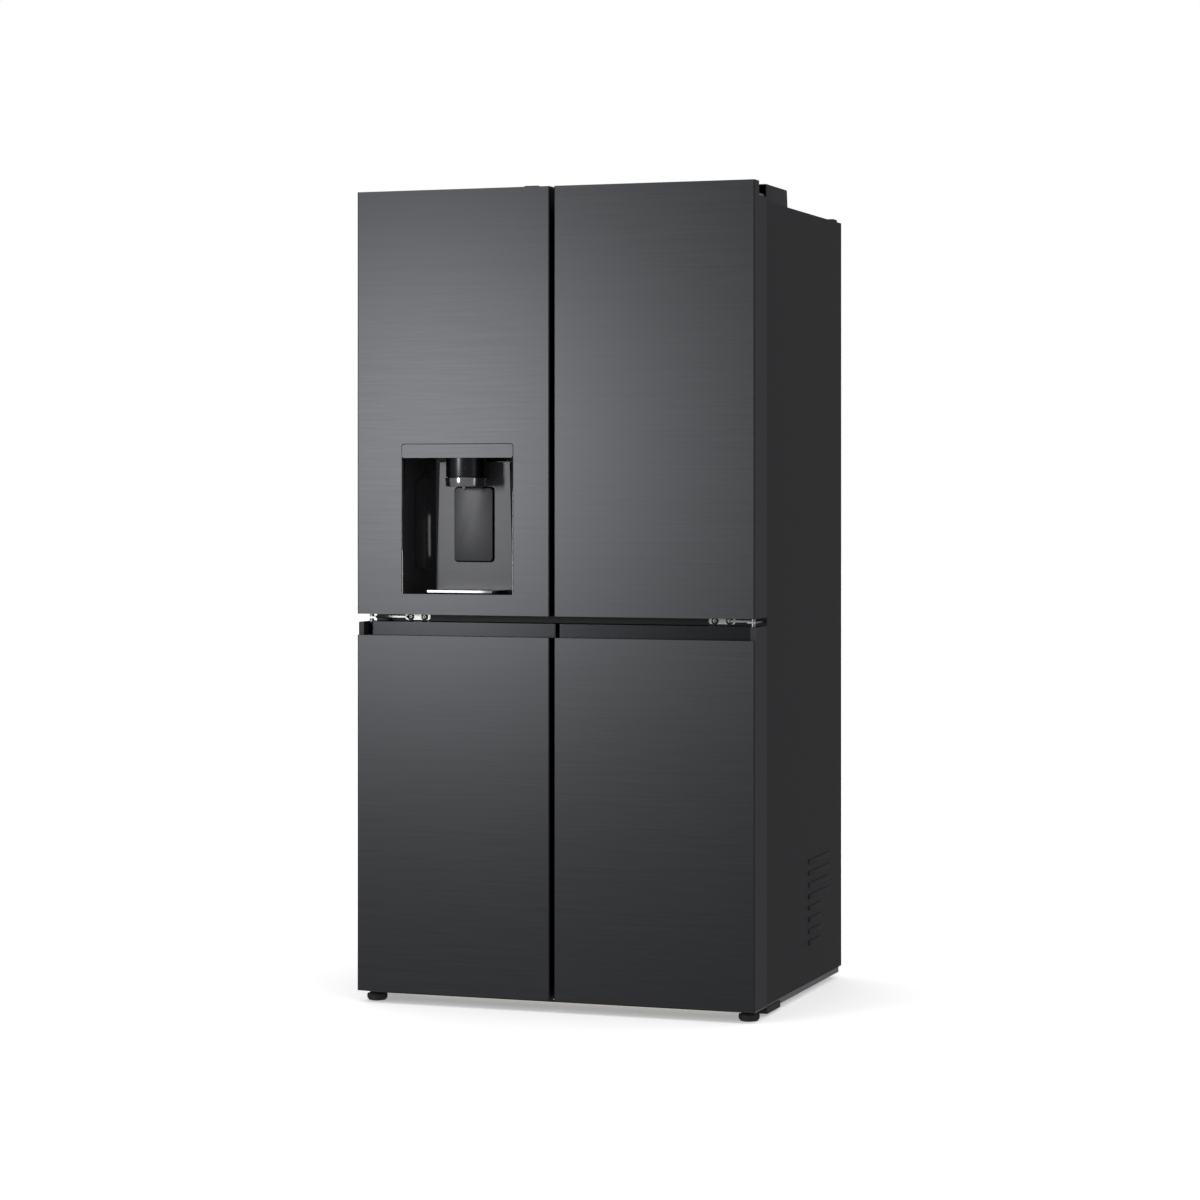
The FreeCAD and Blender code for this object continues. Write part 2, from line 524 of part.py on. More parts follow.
def upper_door(side):
    prefix = "door_upper_left" if side < 0 else "door_upper_right"
    heights = ("upper_door_bottom", "door_top")
    cutouts = []
    notch = box("hinge_notch", on_side(side, "pivot_x - notch_inner", "half_width + 1"),
                ("front + notch_start", "door_back + 1"), ("notch_floor", "door_top + 1"))
    if side < 0:
        cutouts.append(box("dispenser_hole", ("-dispenser_left - panel_groove", "-dispenser_right + panel_groove"),
                           ("front - 1", "front + recess_depth"), ("recess_bottom", "panel_top + panel_groove")))
    door_skin(prefix + "_skin", side, heights, cutouts + [notch])
    inside = door_span(side, "door_skin", "door_skin")
    y = ("front + door_skin", "door_back")
    top = fuse("top_cap_block", box("top_cap", inside, y, ("door_top - cap_thickness", "door_top")),
               box("notch_block", on_side(side, "pivot_x - notch_inner - 12", "half_width - door_skin"), y,
                   ("notch_floor - cap_thickness", "door_top")))
    top = cut("top_cap_cut", top, fuse("top_cap_holes", box("notch_room", on_side(side, "pivot_x - notch_inner",
              "half_width + 1"), ("front + notch_start", "rear"), ("notch_floor", "door_top + 1")),
              pin_bore(side, "notch_floor - cap_thickness + 1", "cap_thickness + 5")))
    if side < 0:
        sensor = rounded("sensor_cap", ("-81", "-47"), ("front + 43", "front + 57"),
                         ("door_top - 1", "overall_height"), "z", "6")
        top = fuse("top_cap_sensor", top, sensor)
    bottom = cut("bottom_cap", box("bottom_cap_block", inside, y,
                 ("upper_door_bottom", "upper_door_bottom + cap_thickness")),
                 pin_bore(side, "upper_door_bottom - 1", "cap_thickness"))
    node(group(prefix + "_caps", top, bottom), prefix + "_caps")
    # the foamed block behind the skin, with the liner's rim on its back
    block = box("foam_core", inside, y, ("upper_door_bottom + cap_thickness", "door_top - cap_thickness"))
    relief = box("notch_relief", on_side(side, "pivot_x - notch_inner - 12", "half_width"), ("front", "rear"),
                 ("notch_floor - cap_thickness", "door_top"))
    rim = dyke(prefix, side, ("upper_door_bottom", "fridge_ceiling + dyke_end_inset - 6"))
    body = [cut("foam_trimmed", block, relief), rim]
    tools = []
    if side < 0:
        body.append(box("dispenser_back", ("-dispenser_left - 18", "-dispenser_right + 18"),
                        ("door_back - 1", "front + recess_depth + paddle_travel + 20"),
                        ("recess_bottom - 10", "panel_top + 20")))
        body.append(box("flap_stem", ("-flap_pivot_x - flap_half - 12", "-flap_pivot_x + flap_half - 2"),
                        ("door_back - 1", "front + flap_pivot_depth + 6"), ("flap_low - 12", "flap_low - 0.4")))
        body.append(box("flap_stem", ("-flap_pivot_x - flap_half - 12", "-flap_pivot_x + flap_half - 2"),
                        ("door_back - 1", "front + flap_pivot_depth + 6"), ("flap_high + 0.4", "flap_high + 12")))
        for z in ("flap_low - 2", "flap_high - 6"):
            body.append(rod("flap_pin", "z", "-flap_pivot_x", "front + flap_pivot_depth", z, "3", "8"))
        tools = [box("housing_room", ("-dispenser_left - panel_groove", "-dispenser_right + panel_groove"),
                     ("front", "front + recess_depth + paddle_travel"), ("recess_bottom - housing_wall",
                     "panel_top + panel_groove")),
                 box("seal_room", ("-gasket_width - door_gap/2 - 2.3", "0"), ("door_back - 0.5",
                     "door_back + gasket_thickness + 0.3"), ("flap_low - 13", "flap_high + 13"))]
    joined = fuse("door_core", *body)
    node(cut(prefix + "_inner", joined, *tools) if tools else joined, prefix + "_inner")
    gasket(prefix + "_gasket", side, ("upper_door_bottom", "cabinet_top + gasket_inset - 4"))
    levels = ["shelf_high", "shelf_high + bin_height + 16"] if side < 0 else \
        ["upper_door_bottom + 70", "shelf_low + 40", "shelf_middle + 60", "shelf_high + 60"]
    bins(prefix + "_bins", side, levels)


def lower_door(side):
    prefix = "door_lower_left" if side < 0 else "door_lower_right"
    heights = ("door_bottom", "lower_door_top")
    # above the front panel the skin is gone, apart from the outer edge that covers the end wall
    step = box("panel_step", on_side(side, "0", "half_width - door_skin"), ("front - 1", "front + strip_depth"),
               ("front_panel_top", "lower_door_top + 1"))
    edge = box("edge_step", on_side(side, "half_width - door_skin - 1", "half_width + 1"),
               ("front - 1", "front + end_wall_setback"), ("front_panel_top", "lower_door_top + 1"))
    door_skin(prefix + "_skin", side, heights, [step, edge])
    inside = door_span(side, "door_skin", "door_skin")
    y = ("front + door_skin", "door_back")
    pocket_x = on_side(side, "door_gap/2 + door_skin", "half_width - pocket_end_wall")
    pocket = [box("pocket", pocket_x, ("front + pocket_front", "front + strip_depth"),
                  ("front_panel_top - pocket_drop", "lower_door_top + 1")),
              box("pocket_lip_room", pocket_x, ("front", "front + strip_depth"),
                  ("front_panel_top", "lower_door_top + 1")),
              box("end_wall_setback_room", on_side(side, "half_width - pocket_end_wall - 1", "half_width"),
                  ("front", "front + end_wall_setback"), ("front_panel_top", "lower_door_top + 1"))]
    cap_low = "front_panel_top - pocket_drop - 3"
    top = cut("handle_cap", box("handle_cap_block", inside, y, (cap_low, "lower_door_top")),
              fuse("handle_cap_room", *pocket), pin_bore(side, "lower_door_top - cap_thickness", "cap_thickness + 5"))
    bottom = cut("foot_cap", box("foot_cap_block", inside, y, ("door_bottom", "door_bottom + cap_thickness")),
                 pin_bore(side, "door_bottom - 1", "cap_thickness"))
    node(group(prefix + "_caps", top, bottom), prefix + "_caps")
    strip = box("handle_plate", pocket_x, ("front + strip_depth - strip_thickness", "front + strip_depth"),
                ("front_panel_top - pocket_drop", "lower_door_top"))
    node(strip, prefix + "_handle_strip")
    core = box("foam_core", inside, y, ("door_bottom + cap_thickness", cap_low))
    rim = dyke(prefix, side, ("freezer_floor - dyke_end_inset + 4", "freezer_ceiling + dyke_end_inset - 4"))
    behind = box("rim_backing", door_span(side, "dyke_centre_inset", "dyke_side_inset"), ("door_back - 1", "door_back"),
                 ("freezer_floor + 4", cap_low))
    node(fuse(prefix + "_inner", core, behind, rim), prefix + "_inner")
    gasket(prefix + "_gasket", side, heights)


# ---------------------------------------------------------------- dispenser and ice maker
def dispenser():
    x = ("-dispenser_left", "-dispenser_right")
    back_y = "front + recess_depth"
    panel = rounded("control_panel", x, ("front", "front + 12"), ("panel_bottom", "panel_top"), "y", "panel_corner")
    node(panel, "dispenser_panel")
    block = box("housing_block", ("-dispenser_left - panel_groove + 0.3", "-dispenser_right + panel_groove - 0.3"),
                ("front + 0.8", f"{back_y} + paddle_travel - 0.3"),
                ("recess_bottom - housing_wall + 0.3", "panel_top + panel_groove - 0.3"))
    skin_room = box("skin_room", ("-overall_width", "overall_width"), ("front", "front + door_skin + 0.2"),
                    ("0", "recess_bottom + 0.3"))
    panel_room = box("panel_room", ("-dispenser_left - 9", "-dispenser_right + 9"), ("front", "front + 12"),
                     ("panel_bottom", "panel_top + 9"))
    cavity = document.addObject("Part::Wedge", "recess")
    bind(cavity, Xmin="-dispenser_left + 2", Xmax="-dispenser_right - 2", Zmin="recess_bottom + 1",
         Zmax="panel_bottom", Ymin="front", Ymax=back_y, X2min="-back_top_left - 4", X2max="-back_top_right + 4",
         Z2min="recess_bottom + 3", Z2max="panel_bottom")
    paddle_x = ("dispenser_x - paddle_width/2 - 2.5", "dispenser_x + paddle_width/2 + 2.5")
    paddle_room = box("paddle_room", paddle_x, (f"{back_y} - 1", f"{back_y} + paddle_travel - 3"),
                      ("paddle_bottom - 3", "paddle_top + 3"))
    pin_y, pin_z = f"{back_y} + 4", "paddle_top - 8"
    pin_start, pin_length = "dispenser_x - paddle_width/2 - 7", "paddle_width + 14"
    pin_room = rod("paddle_pin_room", "x", pin_start + " - 0.5", pin_y, pin_z, "2.8", pin_length + " + 1")
    node(cut("dispenser_housing", block, skin_room, panel_room, fuse("recess_room", cavity, paddle_room, pin_room)),
         "dispenser_housing")
    nozzle_y = "front + nozzle_depth"
    drum = rod("nozzle_drum", "z", "dispenser_x", nozzle_y, "nozzle_bottom", "nozzle_radius",
               "panel_bottom - nozzle_bottom")
    spout = rod("spout", "z", "dispenser_x", f"{nozzle_y} - spout_forward", "spout_bottom", "spout_radius",
                "nozzle_bottom - spout_bottom + 1")
    node(fuse("dispenser_nozzle", drum, spout), "dispenser_nozzle")
    ring = cone("ring_body", "dispenser_x", nozzle_y, "ring_bottom", "ring_radius - 2", "ring_radius",
                "nozzle_bottom - ring_bottom")
    bore = rod("ring_bore", "z", "dispenser_x", nozzle_y, "ring_bottom - 1", "ring_radius - 6",
               "nozzle_bottom - ring_bottom + 2")
    node(cut("nozzle_ring", ring, bore), "nozzle_ring")
    tray = rounded("tray_plate", ("dispenser_x - 84", "dispenser_x + 84"), ("front + 14", f"{back_y} - 8"),
                   ("tray_z", "tray_z + 5"), "z", "8")
    slots = [box("tray_slot", (f"dispenser_x - 72 + {k}*12", f"dispenser_x - 67 + {k}*12"),
                 ("front + 26", f"{back_y} - 20"), ("tray_z + 2", "tray_z + 6")) for k in range(13)]
    node(cut("drip_tray", tray, *slots), "drip_tray")
    paddle = rounded("paddle_plate", ("dispenser_x - paddle_width/2", "dispenser_x + paddle_width/2"),
                     ("front + paddle_front", "front + paddle_front + paddle_thickness"),
                     ("paddle_bottom", "paddle_top"), "y", "paddle_corner")
    arm = box("paddle_arm", ("dispenser_x - 30", "dispenser_x + 30"), ("front + paddle_front + 2", pin_y),
              ("paddle_top - 10", "paddle_top - 6"))
    node(fuse("dispenser_paddle", paddle, arm, rod("paddle_pin", "x", pin_start, pin_y, pin_z, "2.5", pin_length)),
         "dispenser_paddle")


def ice_maker():
    """The ice compartment on the back of the left door, and its lid, hinged on the outer side."""
    x, z = ("ice_left", "ice_right"), ("ice_low", "ice_high")
    case = box("ice_case", x, ("door_back + 0.3", "shelf_y - 20"), z)
    hollow = box("ice_room", ("ice_left + 4", "ice_right - 4"), ("door_back + 10", "rear"), ("ice_low + 4", "ice_high - 4"))
    mould = box("ice_mould", ("ice_left + 60", "ice_right - 60"), ("door_back + 9", "door_back + 60"),
                ("ice_high - 60", "ice_high - 25"))
    node(fuse("ice_maker", cut("ice_shell", case, hollow), mould), "ice_maker")
    node(box("ice_door", x, ("shelf_y - 19.6", "shelf_y - 12"), z), "ice_door")


def flap():
    """The upright flap that closes the gap between the upper doors, folded back in its rest place."""
    x, y = "-flap_pivot_x", "front + flap_pivot_depth"
    blade = box("flap_blade", (f"{x} - flap_half", f"{x} + flap_half"), (y, f"{y} + flap_length"), ("flap_low", "flap_high"))
    knuckle = rod("flap_knuckle", "z", x, y, "flap_low", "flap_half", span("flap_low", "flap_high"))
    bores = [rod("flap_bore", "z", x, y, z, "3.4", "8") for z in ("flap_low - 1", "flap_high - 7")]
    node(cut("flap_mullion", fuse("flap_solid", blade, knuckle), *bores), "flap_mullion")


# ---------------------------------------------------------------- inside the cabinet
def shelves():
    panes = []
    for level in ("shelf_low", "shelf_middle", "shelf_high"):
        panes.append(box("shelf", ("-cavity_half + 1", "cavity_half - 1"), ("shelf_y", "cavity_back - 24"),
                         (level, f"{level} + shelf_thickness")))
    node(group("glass_shelves", *panes), "glass_shelves")
    ducts = [box("fridge_duct", ("-70", "70"), ("cavity_back - 20", "cavity_back"), ("shelf_low + 20", "fridge_ceiling"))]
    for side in (-1, 1):
        ducts.append(box("freezer_duct", on_side(side, "partition_half + 90", "cavity_half - 90"),
                         ("cavity_back - 20", "cavity_back"), ("step_top", "freezer_ceiling")))
    node(group("air_ducts", *ducts), "air_ducts")


def drawer(name, side, inner, heights, back):
    """An open-topped drawer with a thicker front that has a finger scoop under its top edge."""
    low, high = heights
    x = on_side(side, inner, "drawer_outer")
    outer = rounded(name + "_block", x, ("drawer_y", back), heights, "z", "5")
    hollow = box(name + "_hollow", (f"{x[0]} + drawer_wall", f"{x[1]} - drawer_wall"),
                 ("drawer_y + 2*drawer_wall", f"{back} - drawer_wall"), (f"{low} + drawer_wall", f"{high} + 5"))
    node(cut(name, outer, hollow), name)


def stepped_drawer(name, side):
    """The bottom freezer drawer: deep at the front, shallow where it passes over the machinery."""
    low, step, high = "freezer_floor + seat_clearance", "step_top + 3", "low_drawer_top"
    x = on_side(side, "drawer_inner", "drawer_outer")
    near, middle, far = "drawer_y", "step_front - 5", "cavity_back - 28"
    wall = "drawer_wall"
    outer = profile(name + "_outer", "yz", [(near, low), (middle, low), (middle, step), (far, step), (far, high),
                                            (near, high)], x[0], span(*x))
    inner = profile(name + "_inner", "yz", [
        (f"{near} + 2*{wall}", f"{low} + {wall}"), (f"{middle} - {wall}", f"{low} + {wall}"),
        (f"{middle} - {wall}", f"{step} + {wall}"), (f"{far} - {wall}", f"{step} + {wall}"),
        (f"{far} - {wall}", f"{high} + 5"), (f"{near} + 2*{wall}", f"{high} + 5")],
        f"{x[0]} + {wall}", f"{span(*x)} - 2*{wall}")
    node(cut(name, outer, inner), name)


def drawers():
    for side, word in ((-1, "left"), (1, "right")):
        drawer("crisper_" + word, side, "crisper_inner", ("fridge_floor + seat_clearance", "crisper_top"),
               "cavity_back - 28")
        drawer("freezer_drawer_high_" + word, side, "drawer_inner", ("high_drawer_bottom", "high_drawer_top"),
               "cavity_back - 28")
        stepped_drawer("freezer_drawer_low_" + word, side)


# ---------------------------------------------------------------- machinery
def machinery():
    floor = "cabinet_bottom + 3"
    x, y = "-cabinet_half + 210", "front + machine_front + 140"
    shell = fuse("compressor_shell", rod("compressor_body", "z", x, y, f"{floor} + 12", "compressor_radius",
                 "compressor_height - 40"), cone("compressor_dome", x, y, f"{floor} + compressor_height - 28",
                 "compressor_radius", "compressor_radius*0.6", "28"),
                 box("compressor_foot", (f"{x} - 95", f"{x} + 95"), (f"{y} - 60", f"{y} + 60"), (floor, f"{floor} + 14")))
    node(shell, "compressor")
    fins = [box("fin", (f"60 + {k}*12", f"62 + {k}*12"), ("front + machine_front + 60", "cabinet_back - 60"),
                (floor, f"{floor} + 190")) for k in range(14)]
    tubes = [rod("tube", "x", "52", f"front + machine_front + 85 + {j}*40", f"{floor} + 25 + {i}*45", "4", "172")
             for i in range(4) for j in range(4)]
    bearing = [box("fan_post", ("-52", "-40"), ("fan_y - 8", "fan_y + 8"), (floor, "fan_z + 12")),
               rod("fan_shaft", "x", "-46", "fan_y", "fan_z", "4", "60"),
               box("fan_foot", ("-52", "64"), ("fan_y - 14", "fan_y + 14"), (floor, f"{floor} + 4"))]
    node(fuse("condenser", *fins, *tubes, *bearing), "condenser")
    blades = []
    for k in range(7):
        blade = document.addObject("Part::Box", "fan_blade")
        turn = FreeCAD.Rotation(AXES["x"], 360*k/7).multiply(FreeCAD.Rotation(AXES["z"], 28))
        blade.Placement = FreeCAD.Placement(FreeCAD.Vector(), turn)
        bind(blade, Length="2.5", Width="30", Height="fan_radius")
        blades.append(place(blade, "-12", "fan_y", "fan_z"))
    hub = rod("fan_hub_body", "x", "-26", "fan_y", "fan_z", "fan_hub", "28")
    bore = rod("fan_bore", "x", "-30", "fan_y", "fan_z", "4.4", "50")
    node(cut("condenser_fan", fuse("fan_solid", hub, *blades), bore), "condenser_fan")
    body = box("valve_body", ("inlet_x - 22", "inlet_x + 22"), ("cabinet_back - case_sheet - 50", "cabinet_back - case_sheet"),
               ("inlet_z - 24", "inlet_z + 24"))
    stub = rod("inlet_stub", "y", "inlet_x", "cabinet_back - 20", "inlet_z", "inlet_radius", "inlet_length + 20")
    bore = rod("inlet_bore", "y", "inlet_x", "cabinet_back - 15", "inlet_z", "inlet_radius - 4", "inlet_length + 20")
    node(cut("water_inlet_valve", fuse("valve_solid", body, stub), bore), "water_inlet_valve")


outer_case()
cabinet_foam()
fridge_liner()
freezer_liners()
rear_panels()
base()
hinges()
shelves()
machinery()
for door_side in (-1, 1):
    upper_door(door_side)
    lower_door(door_side)
    foot(door_side)
    roller(door_side)
dispenser()
ice_maker()
flap()
drawers()
document.recompute()

# ---------------------------------------------------------------- checks and files
for item in document.Objects:
    if {"Invalid", "Error"} & set(item.State):
        raise RuntimeError(f"{item.Name} ({item.Label}) failed: {item.State}")
for item in nodes:
    if item.Shape.isNull() or not item.Shape.isValid():
        raise RuntimeError(f"{item.Label} has no valid shape")
os.makedirs("parts", exist_ok=True)
for item in nodes:
    item.Shape.exportStep(f"parts/{item.Label}.step")
print(len(nodes), "nodes")
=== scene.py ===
# %% [markdown]
# A french door refrigerator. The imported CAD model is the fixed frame: it holds every size, body and
# joint. This notebook gives each visible surface its finish, and models again the pieces whose look
# needs softer edges or finer shapes than a CAD solid has. Sizes are in metres.

# %% Load the frame
import json
import math

import bpy
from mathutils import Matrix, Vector


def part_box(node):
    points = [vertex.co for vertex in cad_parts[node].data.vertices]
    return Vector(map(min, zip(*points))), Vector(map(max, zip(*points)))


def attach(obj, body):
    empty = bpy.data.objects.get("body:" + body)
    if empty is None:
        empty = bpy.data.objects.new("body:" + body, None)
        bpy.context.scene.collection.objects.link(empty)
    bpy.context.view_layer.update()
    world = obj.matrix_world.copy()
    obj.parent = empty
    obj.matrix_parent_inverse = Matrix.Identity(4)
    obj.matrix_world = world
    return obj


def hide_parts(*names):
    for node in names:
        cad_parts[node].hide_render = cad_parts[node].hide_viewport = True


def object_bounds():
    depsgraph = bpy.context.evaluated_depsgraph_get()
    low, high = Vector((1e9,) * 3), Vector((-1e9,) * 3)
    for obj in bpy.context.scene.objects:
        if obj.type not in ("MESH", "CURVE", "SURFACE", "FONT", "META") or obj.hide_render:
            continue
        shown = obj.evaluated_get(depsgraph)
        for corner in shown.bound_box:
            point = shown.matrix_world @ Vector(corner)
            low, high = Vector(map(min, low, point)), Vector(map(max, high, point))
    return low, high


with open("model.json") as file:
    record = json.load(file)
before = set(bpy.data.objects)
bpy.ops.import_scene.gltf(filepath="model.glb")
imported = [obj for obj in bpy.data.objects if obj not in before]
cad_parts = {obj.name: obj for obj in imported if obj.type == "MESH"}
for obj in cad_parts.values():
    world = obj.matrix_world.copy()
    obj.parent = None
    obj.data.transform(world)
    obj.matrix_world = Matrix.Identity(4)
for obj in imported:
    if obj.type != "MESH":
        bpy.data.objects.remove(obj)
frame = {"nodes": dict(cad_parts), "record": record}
nodes = frame["nodes"]
cad_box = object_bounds()
MM = 0.001
print("CAD box", cad_box)

# %% [markdown]
# The camera stands a little to the right of the refrigerator, level, at chest height, with a long
# lens, so the upright edges stay upright. A level camera that looks lower than its middle needs a
# small vertical shift and no tilt.

# %% Camera
CAMERA_PLACE = (2.402, -6.892, 1.1335)
CAMERA_TURN = 19.34
LEVEL = 90
bpy.ops.object.camera_add(location=CAMERA_PLACE,
                          rotation=(math.radians(LEVEL), 0, math.radians(CAMERA_TURN)))
camera = bpy.context.object
camera.name = "camera"
camera.data.lens = 96.6
camera.data.sensor_width = 36
camera.data.shift_y = -0.093
bpy.context.scene.camera = camera

# %% [markdown]
# Dark brushed steel shows what it faces as a soft blur, so the lights are large. One stands where the
# doors mirror it towards the camera and gives the left door its glow. The sky is white, but dark to
# mirrored rays, so that the steel stays dark.

# %% Light and floor
def area_light(name, place, aim, size, power):
    direction = Vector(aim) - Vector(place)
    bpy.ops.object.light_add(type="AREA", location=place,
                             rotation=direction.to_track_quat("-Z", "Y").to_euler())
    light = bpy.context.object
    light.name = name
    light.data.shape = "RECTANGLE"
    light.data.size, light.data.size_y = size
    light.data.energy = power
    return light


area_light("glow_on_doors", (-1.6, -3.6, 1.27), (-0.2, -0.36, 1.2), (0.3, 1.0), 25)
area_light("overhead", (0.4, -1.2, 4.2), (0, 0, 0), (4, 3), 26)
area_light("edge_light", (3.4, -1.9, 1.3), (0.45, -0.3, 1), (0.25, 2.4), 2.5)

world = bpy.data.worlds.new("studio")
bpy.context.scene.world = world
world.use_nodes = True
sky = world.node_tree
background = sky.nodes["Background"]
WHITE_SKY, MIRRORED_SKY = (1, 1, 1, 1), (0.19, 0.19, 0.198, 1)
background.inputs["Color"].default_value = WHITE_SKY
mirrored = sky.nodes.new("ShaderNodeBackground")
mirrored.inputs["Color"].default_value = MIRRORED_SKY
chooser = sky.nodes.new("ShaderNodeMixShader")
ray = sky.nodes.new("ShaderNodeLightPath")
sky.links.new(ray.outputs["Is Glossy Ray"], chooser.inputs[0])
sky.links.new(background.outputs[0], chooser.inputs[1])
sky.links.new(mirrored.outputs[0], chooser.inputs[2])
sky.links.new(chooser.outputs[0], sky.nodes["World Output"].inputs["Surface"])
bpy.context.scene.view_settings.view_transform = "Standard"

FLOOR_SIZE = 80
bpy.ops.mesh.primitive_plane_add(size=FLOOR_SIZE, location=(0, 0, 0))
floor = bpy.context.object
floor.name = "floor"
floor.visible_glossy = False

# %% [markdown]
# Every finish starts from the same small graph: a noise on Object coordinates, stretched by a Mapping
# node, that moves the colour between two close tones, the roughness between two values, and a bump.
# Stretched a lot along X it reads as brushing. Left even, it reads as the grain of paint or plastic.

# %% Material helper
def finish(name, dark, light, metal, rough, stretch, bump, detail=4, coat=0, distance=0.0002):
    material = bpy.data.materials.new(name)
    material.use_nodes = True
    graph = material.node_tree
    shader = graph.nodes["Principled BSDF"]
    shader.inputs["Metallic"].default_value = metal
    shader.inputs["Coat Weight"].default_value = coat
    place = graph.nodes.new("ShaderNodeTexCoord")
    mapping = graph.nodes.new("ShaderNodeMapping")
    mapping.inputs["Scale"].default_value = stretch
    noise = graph.nodes.new("ShaderNodeTexNoise")
    noise.inputs["Scale"].default_value = 1
    noise.inputs["Detail"].default_value = detail
    tone = graph.nodes.new("ShaderNodeMix")
    tone.data_type = "RGBA"
    tone.inputs["A"].default_value = (*dark, 1)
    tone.inputs["B"].default_value = (*light, 1)
    dull = graph.nodes.new("ShaderNodeMapRange")
    dull.inputs["To Min"].default_value, dull.inputs["To Max"].default_value = rough
    relief = graph.nodes.new("ShaderNodeBump")
    relief.inputs["Strength"].default_value = bump
    relief.inputs["Distance"].default_value = distance
    link = graph.links.new
    link(place.outputs["Object"], mapping.inputs["Vector"])
    link(mapping.outputs["Vector"], noise.inputs["Vector"])
    link(noise.outputs["Fac"], tone.inputs["Factor"])
    link(noise.outputs["Fac"], dull.inputs["Value"])
    link(noise.outputs["Fac"], relief.inputs["Height"])
    link(tone.outputs["Result"], shader.inputs["Base Color"])
    link(dull.outputs["Result"], shader.inputs["Roughness"])
    link(relief.outputs["Normal"], shader.inputs["Normal"])
    return material


def add_streaks(material, stretch, darker, strength=0.5):
    """A second, broader noise that darkens a finish in long soft streaks or clouds."""
    graph = material.node_tree
    shader = graph.nodes["Principled BSDF"]
    tone = shader.inputs["Base Color"].links[0].from_socket
    mapping = graph.nodes.new("ShaderNodeMapping")
    mapping.inputs["Scale"].default_value = stretch
    noise = graph.nodes.new("ShaderNodeTexNoise")
    noise.inputs["Scale"].default_value = 1
    noise.inputs["Detail"].default_value = 3
    blend = graph.nodes.new("ShaderNodeMix")
    blend.data_type = "RGBA"
    blend.blend_type = "MULTIPLY"
    blend.inputs["Factor"].default_value = strength
    ramp = graph.nodes.new("ShaderNodeMapRange")
    ramp.inputs["From Min"].default_value, ramp.inputs["From Max"].default_value = 0.3, 0.7
    ramp.inputs["To Min"].default_value, ramp.inputs["To Max"].default_value = darker, 1.0
    link = graph.links.new
    link(graph.nodes["Texture Coordinate"].outputs["Object"], mapping.inputs["Vector"])
    link(mapping.outputs["Vector"], noise.inputs["Vector"])
    link(noise.outputs["Fac"], ramp.inputs["Value"])
    link(tone, blend.inputs["A"])
    link(ramp.outputs["Result"], blend.inputs["B"])
    link(blend.outputs["Result"], shader.inputs["Base Color"])
    return material


# %% Finishes
dark_steel = add_streaks(finish("dark_brushed_steel", (0.078, 0.08, 0.085), (0.112, 0.114, 0.12), 1,
                                (0.33, 0.43),
                                (9, 40, 1300), 0.04, detail=2), (3, 20, 260), 0.88)
# The handle strip takes a copy of the door's brushed steel, made much darker. The extra darkness is painted
# shade: it stands for the shade and dark reflections of the handle pocket under the upper door.
strip_steel_painted_shade = add_streaks(finish("brushed_strip_painted_shade", (0.028, 0.029, 0.032), (0.04, 0.041, 0.045), 1, (0.24, 0.3),
                                 (9, 40, 1300), 0.03, detail=2), (3, 10, 260), 0.92)
case_paint = add_streaks(finish("charcoal_paint", (0.008, 0.0083, 0.0098), (0.012, 0.0124, 0.014), 0.15,
                                (0.42, 0.5),
                                (700, 700, 700), 0.25, distance=0.0001), (1.5, 1.5, 1.5), 0.88)
cap_plastic = finish("black_cap_plastic", (0.013, 0.013, 0.014), (0.02, 0.02, 0.022), 0, (0.4, 0.55),
                     (900, 900, 900), 0.3)
gloss_black = finish("gloss_black_plastic", (0.006, 0.006, 0.007), (0.009, 0.009, 0.01), 0, (0.06, 0.1),
                     (30, 30, 30), 0.01, coat=0.5)
satin_grey = finish("satin_grey_panel", (0.05, 0.051, 0.054), (0.062, 0.063, 0.067), 0.6, (0.3, 0.4),
                    (20, 20, 1400), 0.03)
paddle_grey = finish("paddle_grey", (0.032, 0.033, 0.036), (0.042, 0.043, 0.046), 0.3, (0.3, 0.38),
                     (500, 500, 500), 0.05)
nozzle_dark = finish("dark_turned_metal", (0.05, 0.051, 0.054), (0.07, 0.071, 0.075), 1, (0.25, 0.34),
                     (40, 40, 1600), 0.05)
bright_metal = finish("polished_ring", (0.5, 0.5, 0.51), (0.6, 0.6, 0.61), 1, (0.1, 0.18), (60, 60, 2000),
                      0.03)
zinc = add_streaks(finish("zinc_plate", (0.5, 0.5, 0.49), (0.62, 0.62, 0.6), 1, (0.26, 0.4), (160, 160, 160),
                          0.1),
                   (60, 60, 60), 0.75)
galvanised = add_streaks(finish("galvanised_sheet", (0.42, 0.43, 0.44), (0.55, 0.56, 0.57), 1, (0.35, 0.5),
                                (60, 60, 60), 0.08), (14, 14, 14), 0.8)
white_liner = add_streaks(finish("white_liner", (0.78, 0.79, 0.8), (0.84, 0.85, 0.86), 0, (0.28, 0.4),
                                 (260, 260, 260), 0.06), (3, 3, 3), 0.96)
gasket_grey = finish("gasket_rubber", (0.03, 0.03, 0.032), (0.045, 0.045, 0.047), 0, (0.6, 0.75),
                     (300, 300, 300), 0.1)
foam_cream = finish("foam", (0.55, 0.48, 0.3), (0.68, 0.6, 0.4), 0, (0.8, 0.9), (180, 180, 180), 0.5)
enamel_black = finish("black_enamel", (0.008, 0.008, 0.009), (0.014, 0.014, 0.015), 0, (0.15, 0.3),
                      (90, 90, 90), 0.1)
nylon = finish("roller_nylon", (0.4, 0.4, 0.39), (0.48, 0.48, 0.47), 0, (0.4, 0.5), (200, 200, 200), 0.1)
brass = finish("machined_brass", (0.5, 0.36, 0.13), (0.62, 0.46, 0.18), 1, (0.2, 0.32), (90, 600, 90), 0.08)
floor_paper = finish("pale_floor", (0.9, 0.9, 0.9), (0.93, 0.93, 0.93), 0, (0.6, 0.7), (2, 2, 2), 0.01)
FLOOR_GLOW = 0.32
floor_inputs = floor_paper.node_tree.nodes["Principled BSDF"].inputs
floor_inputs["Emission Color"].default_value = (1, 1, 1, 1)
floor_inputs["Emission Strength"].default_value = FLOOR_GLOW
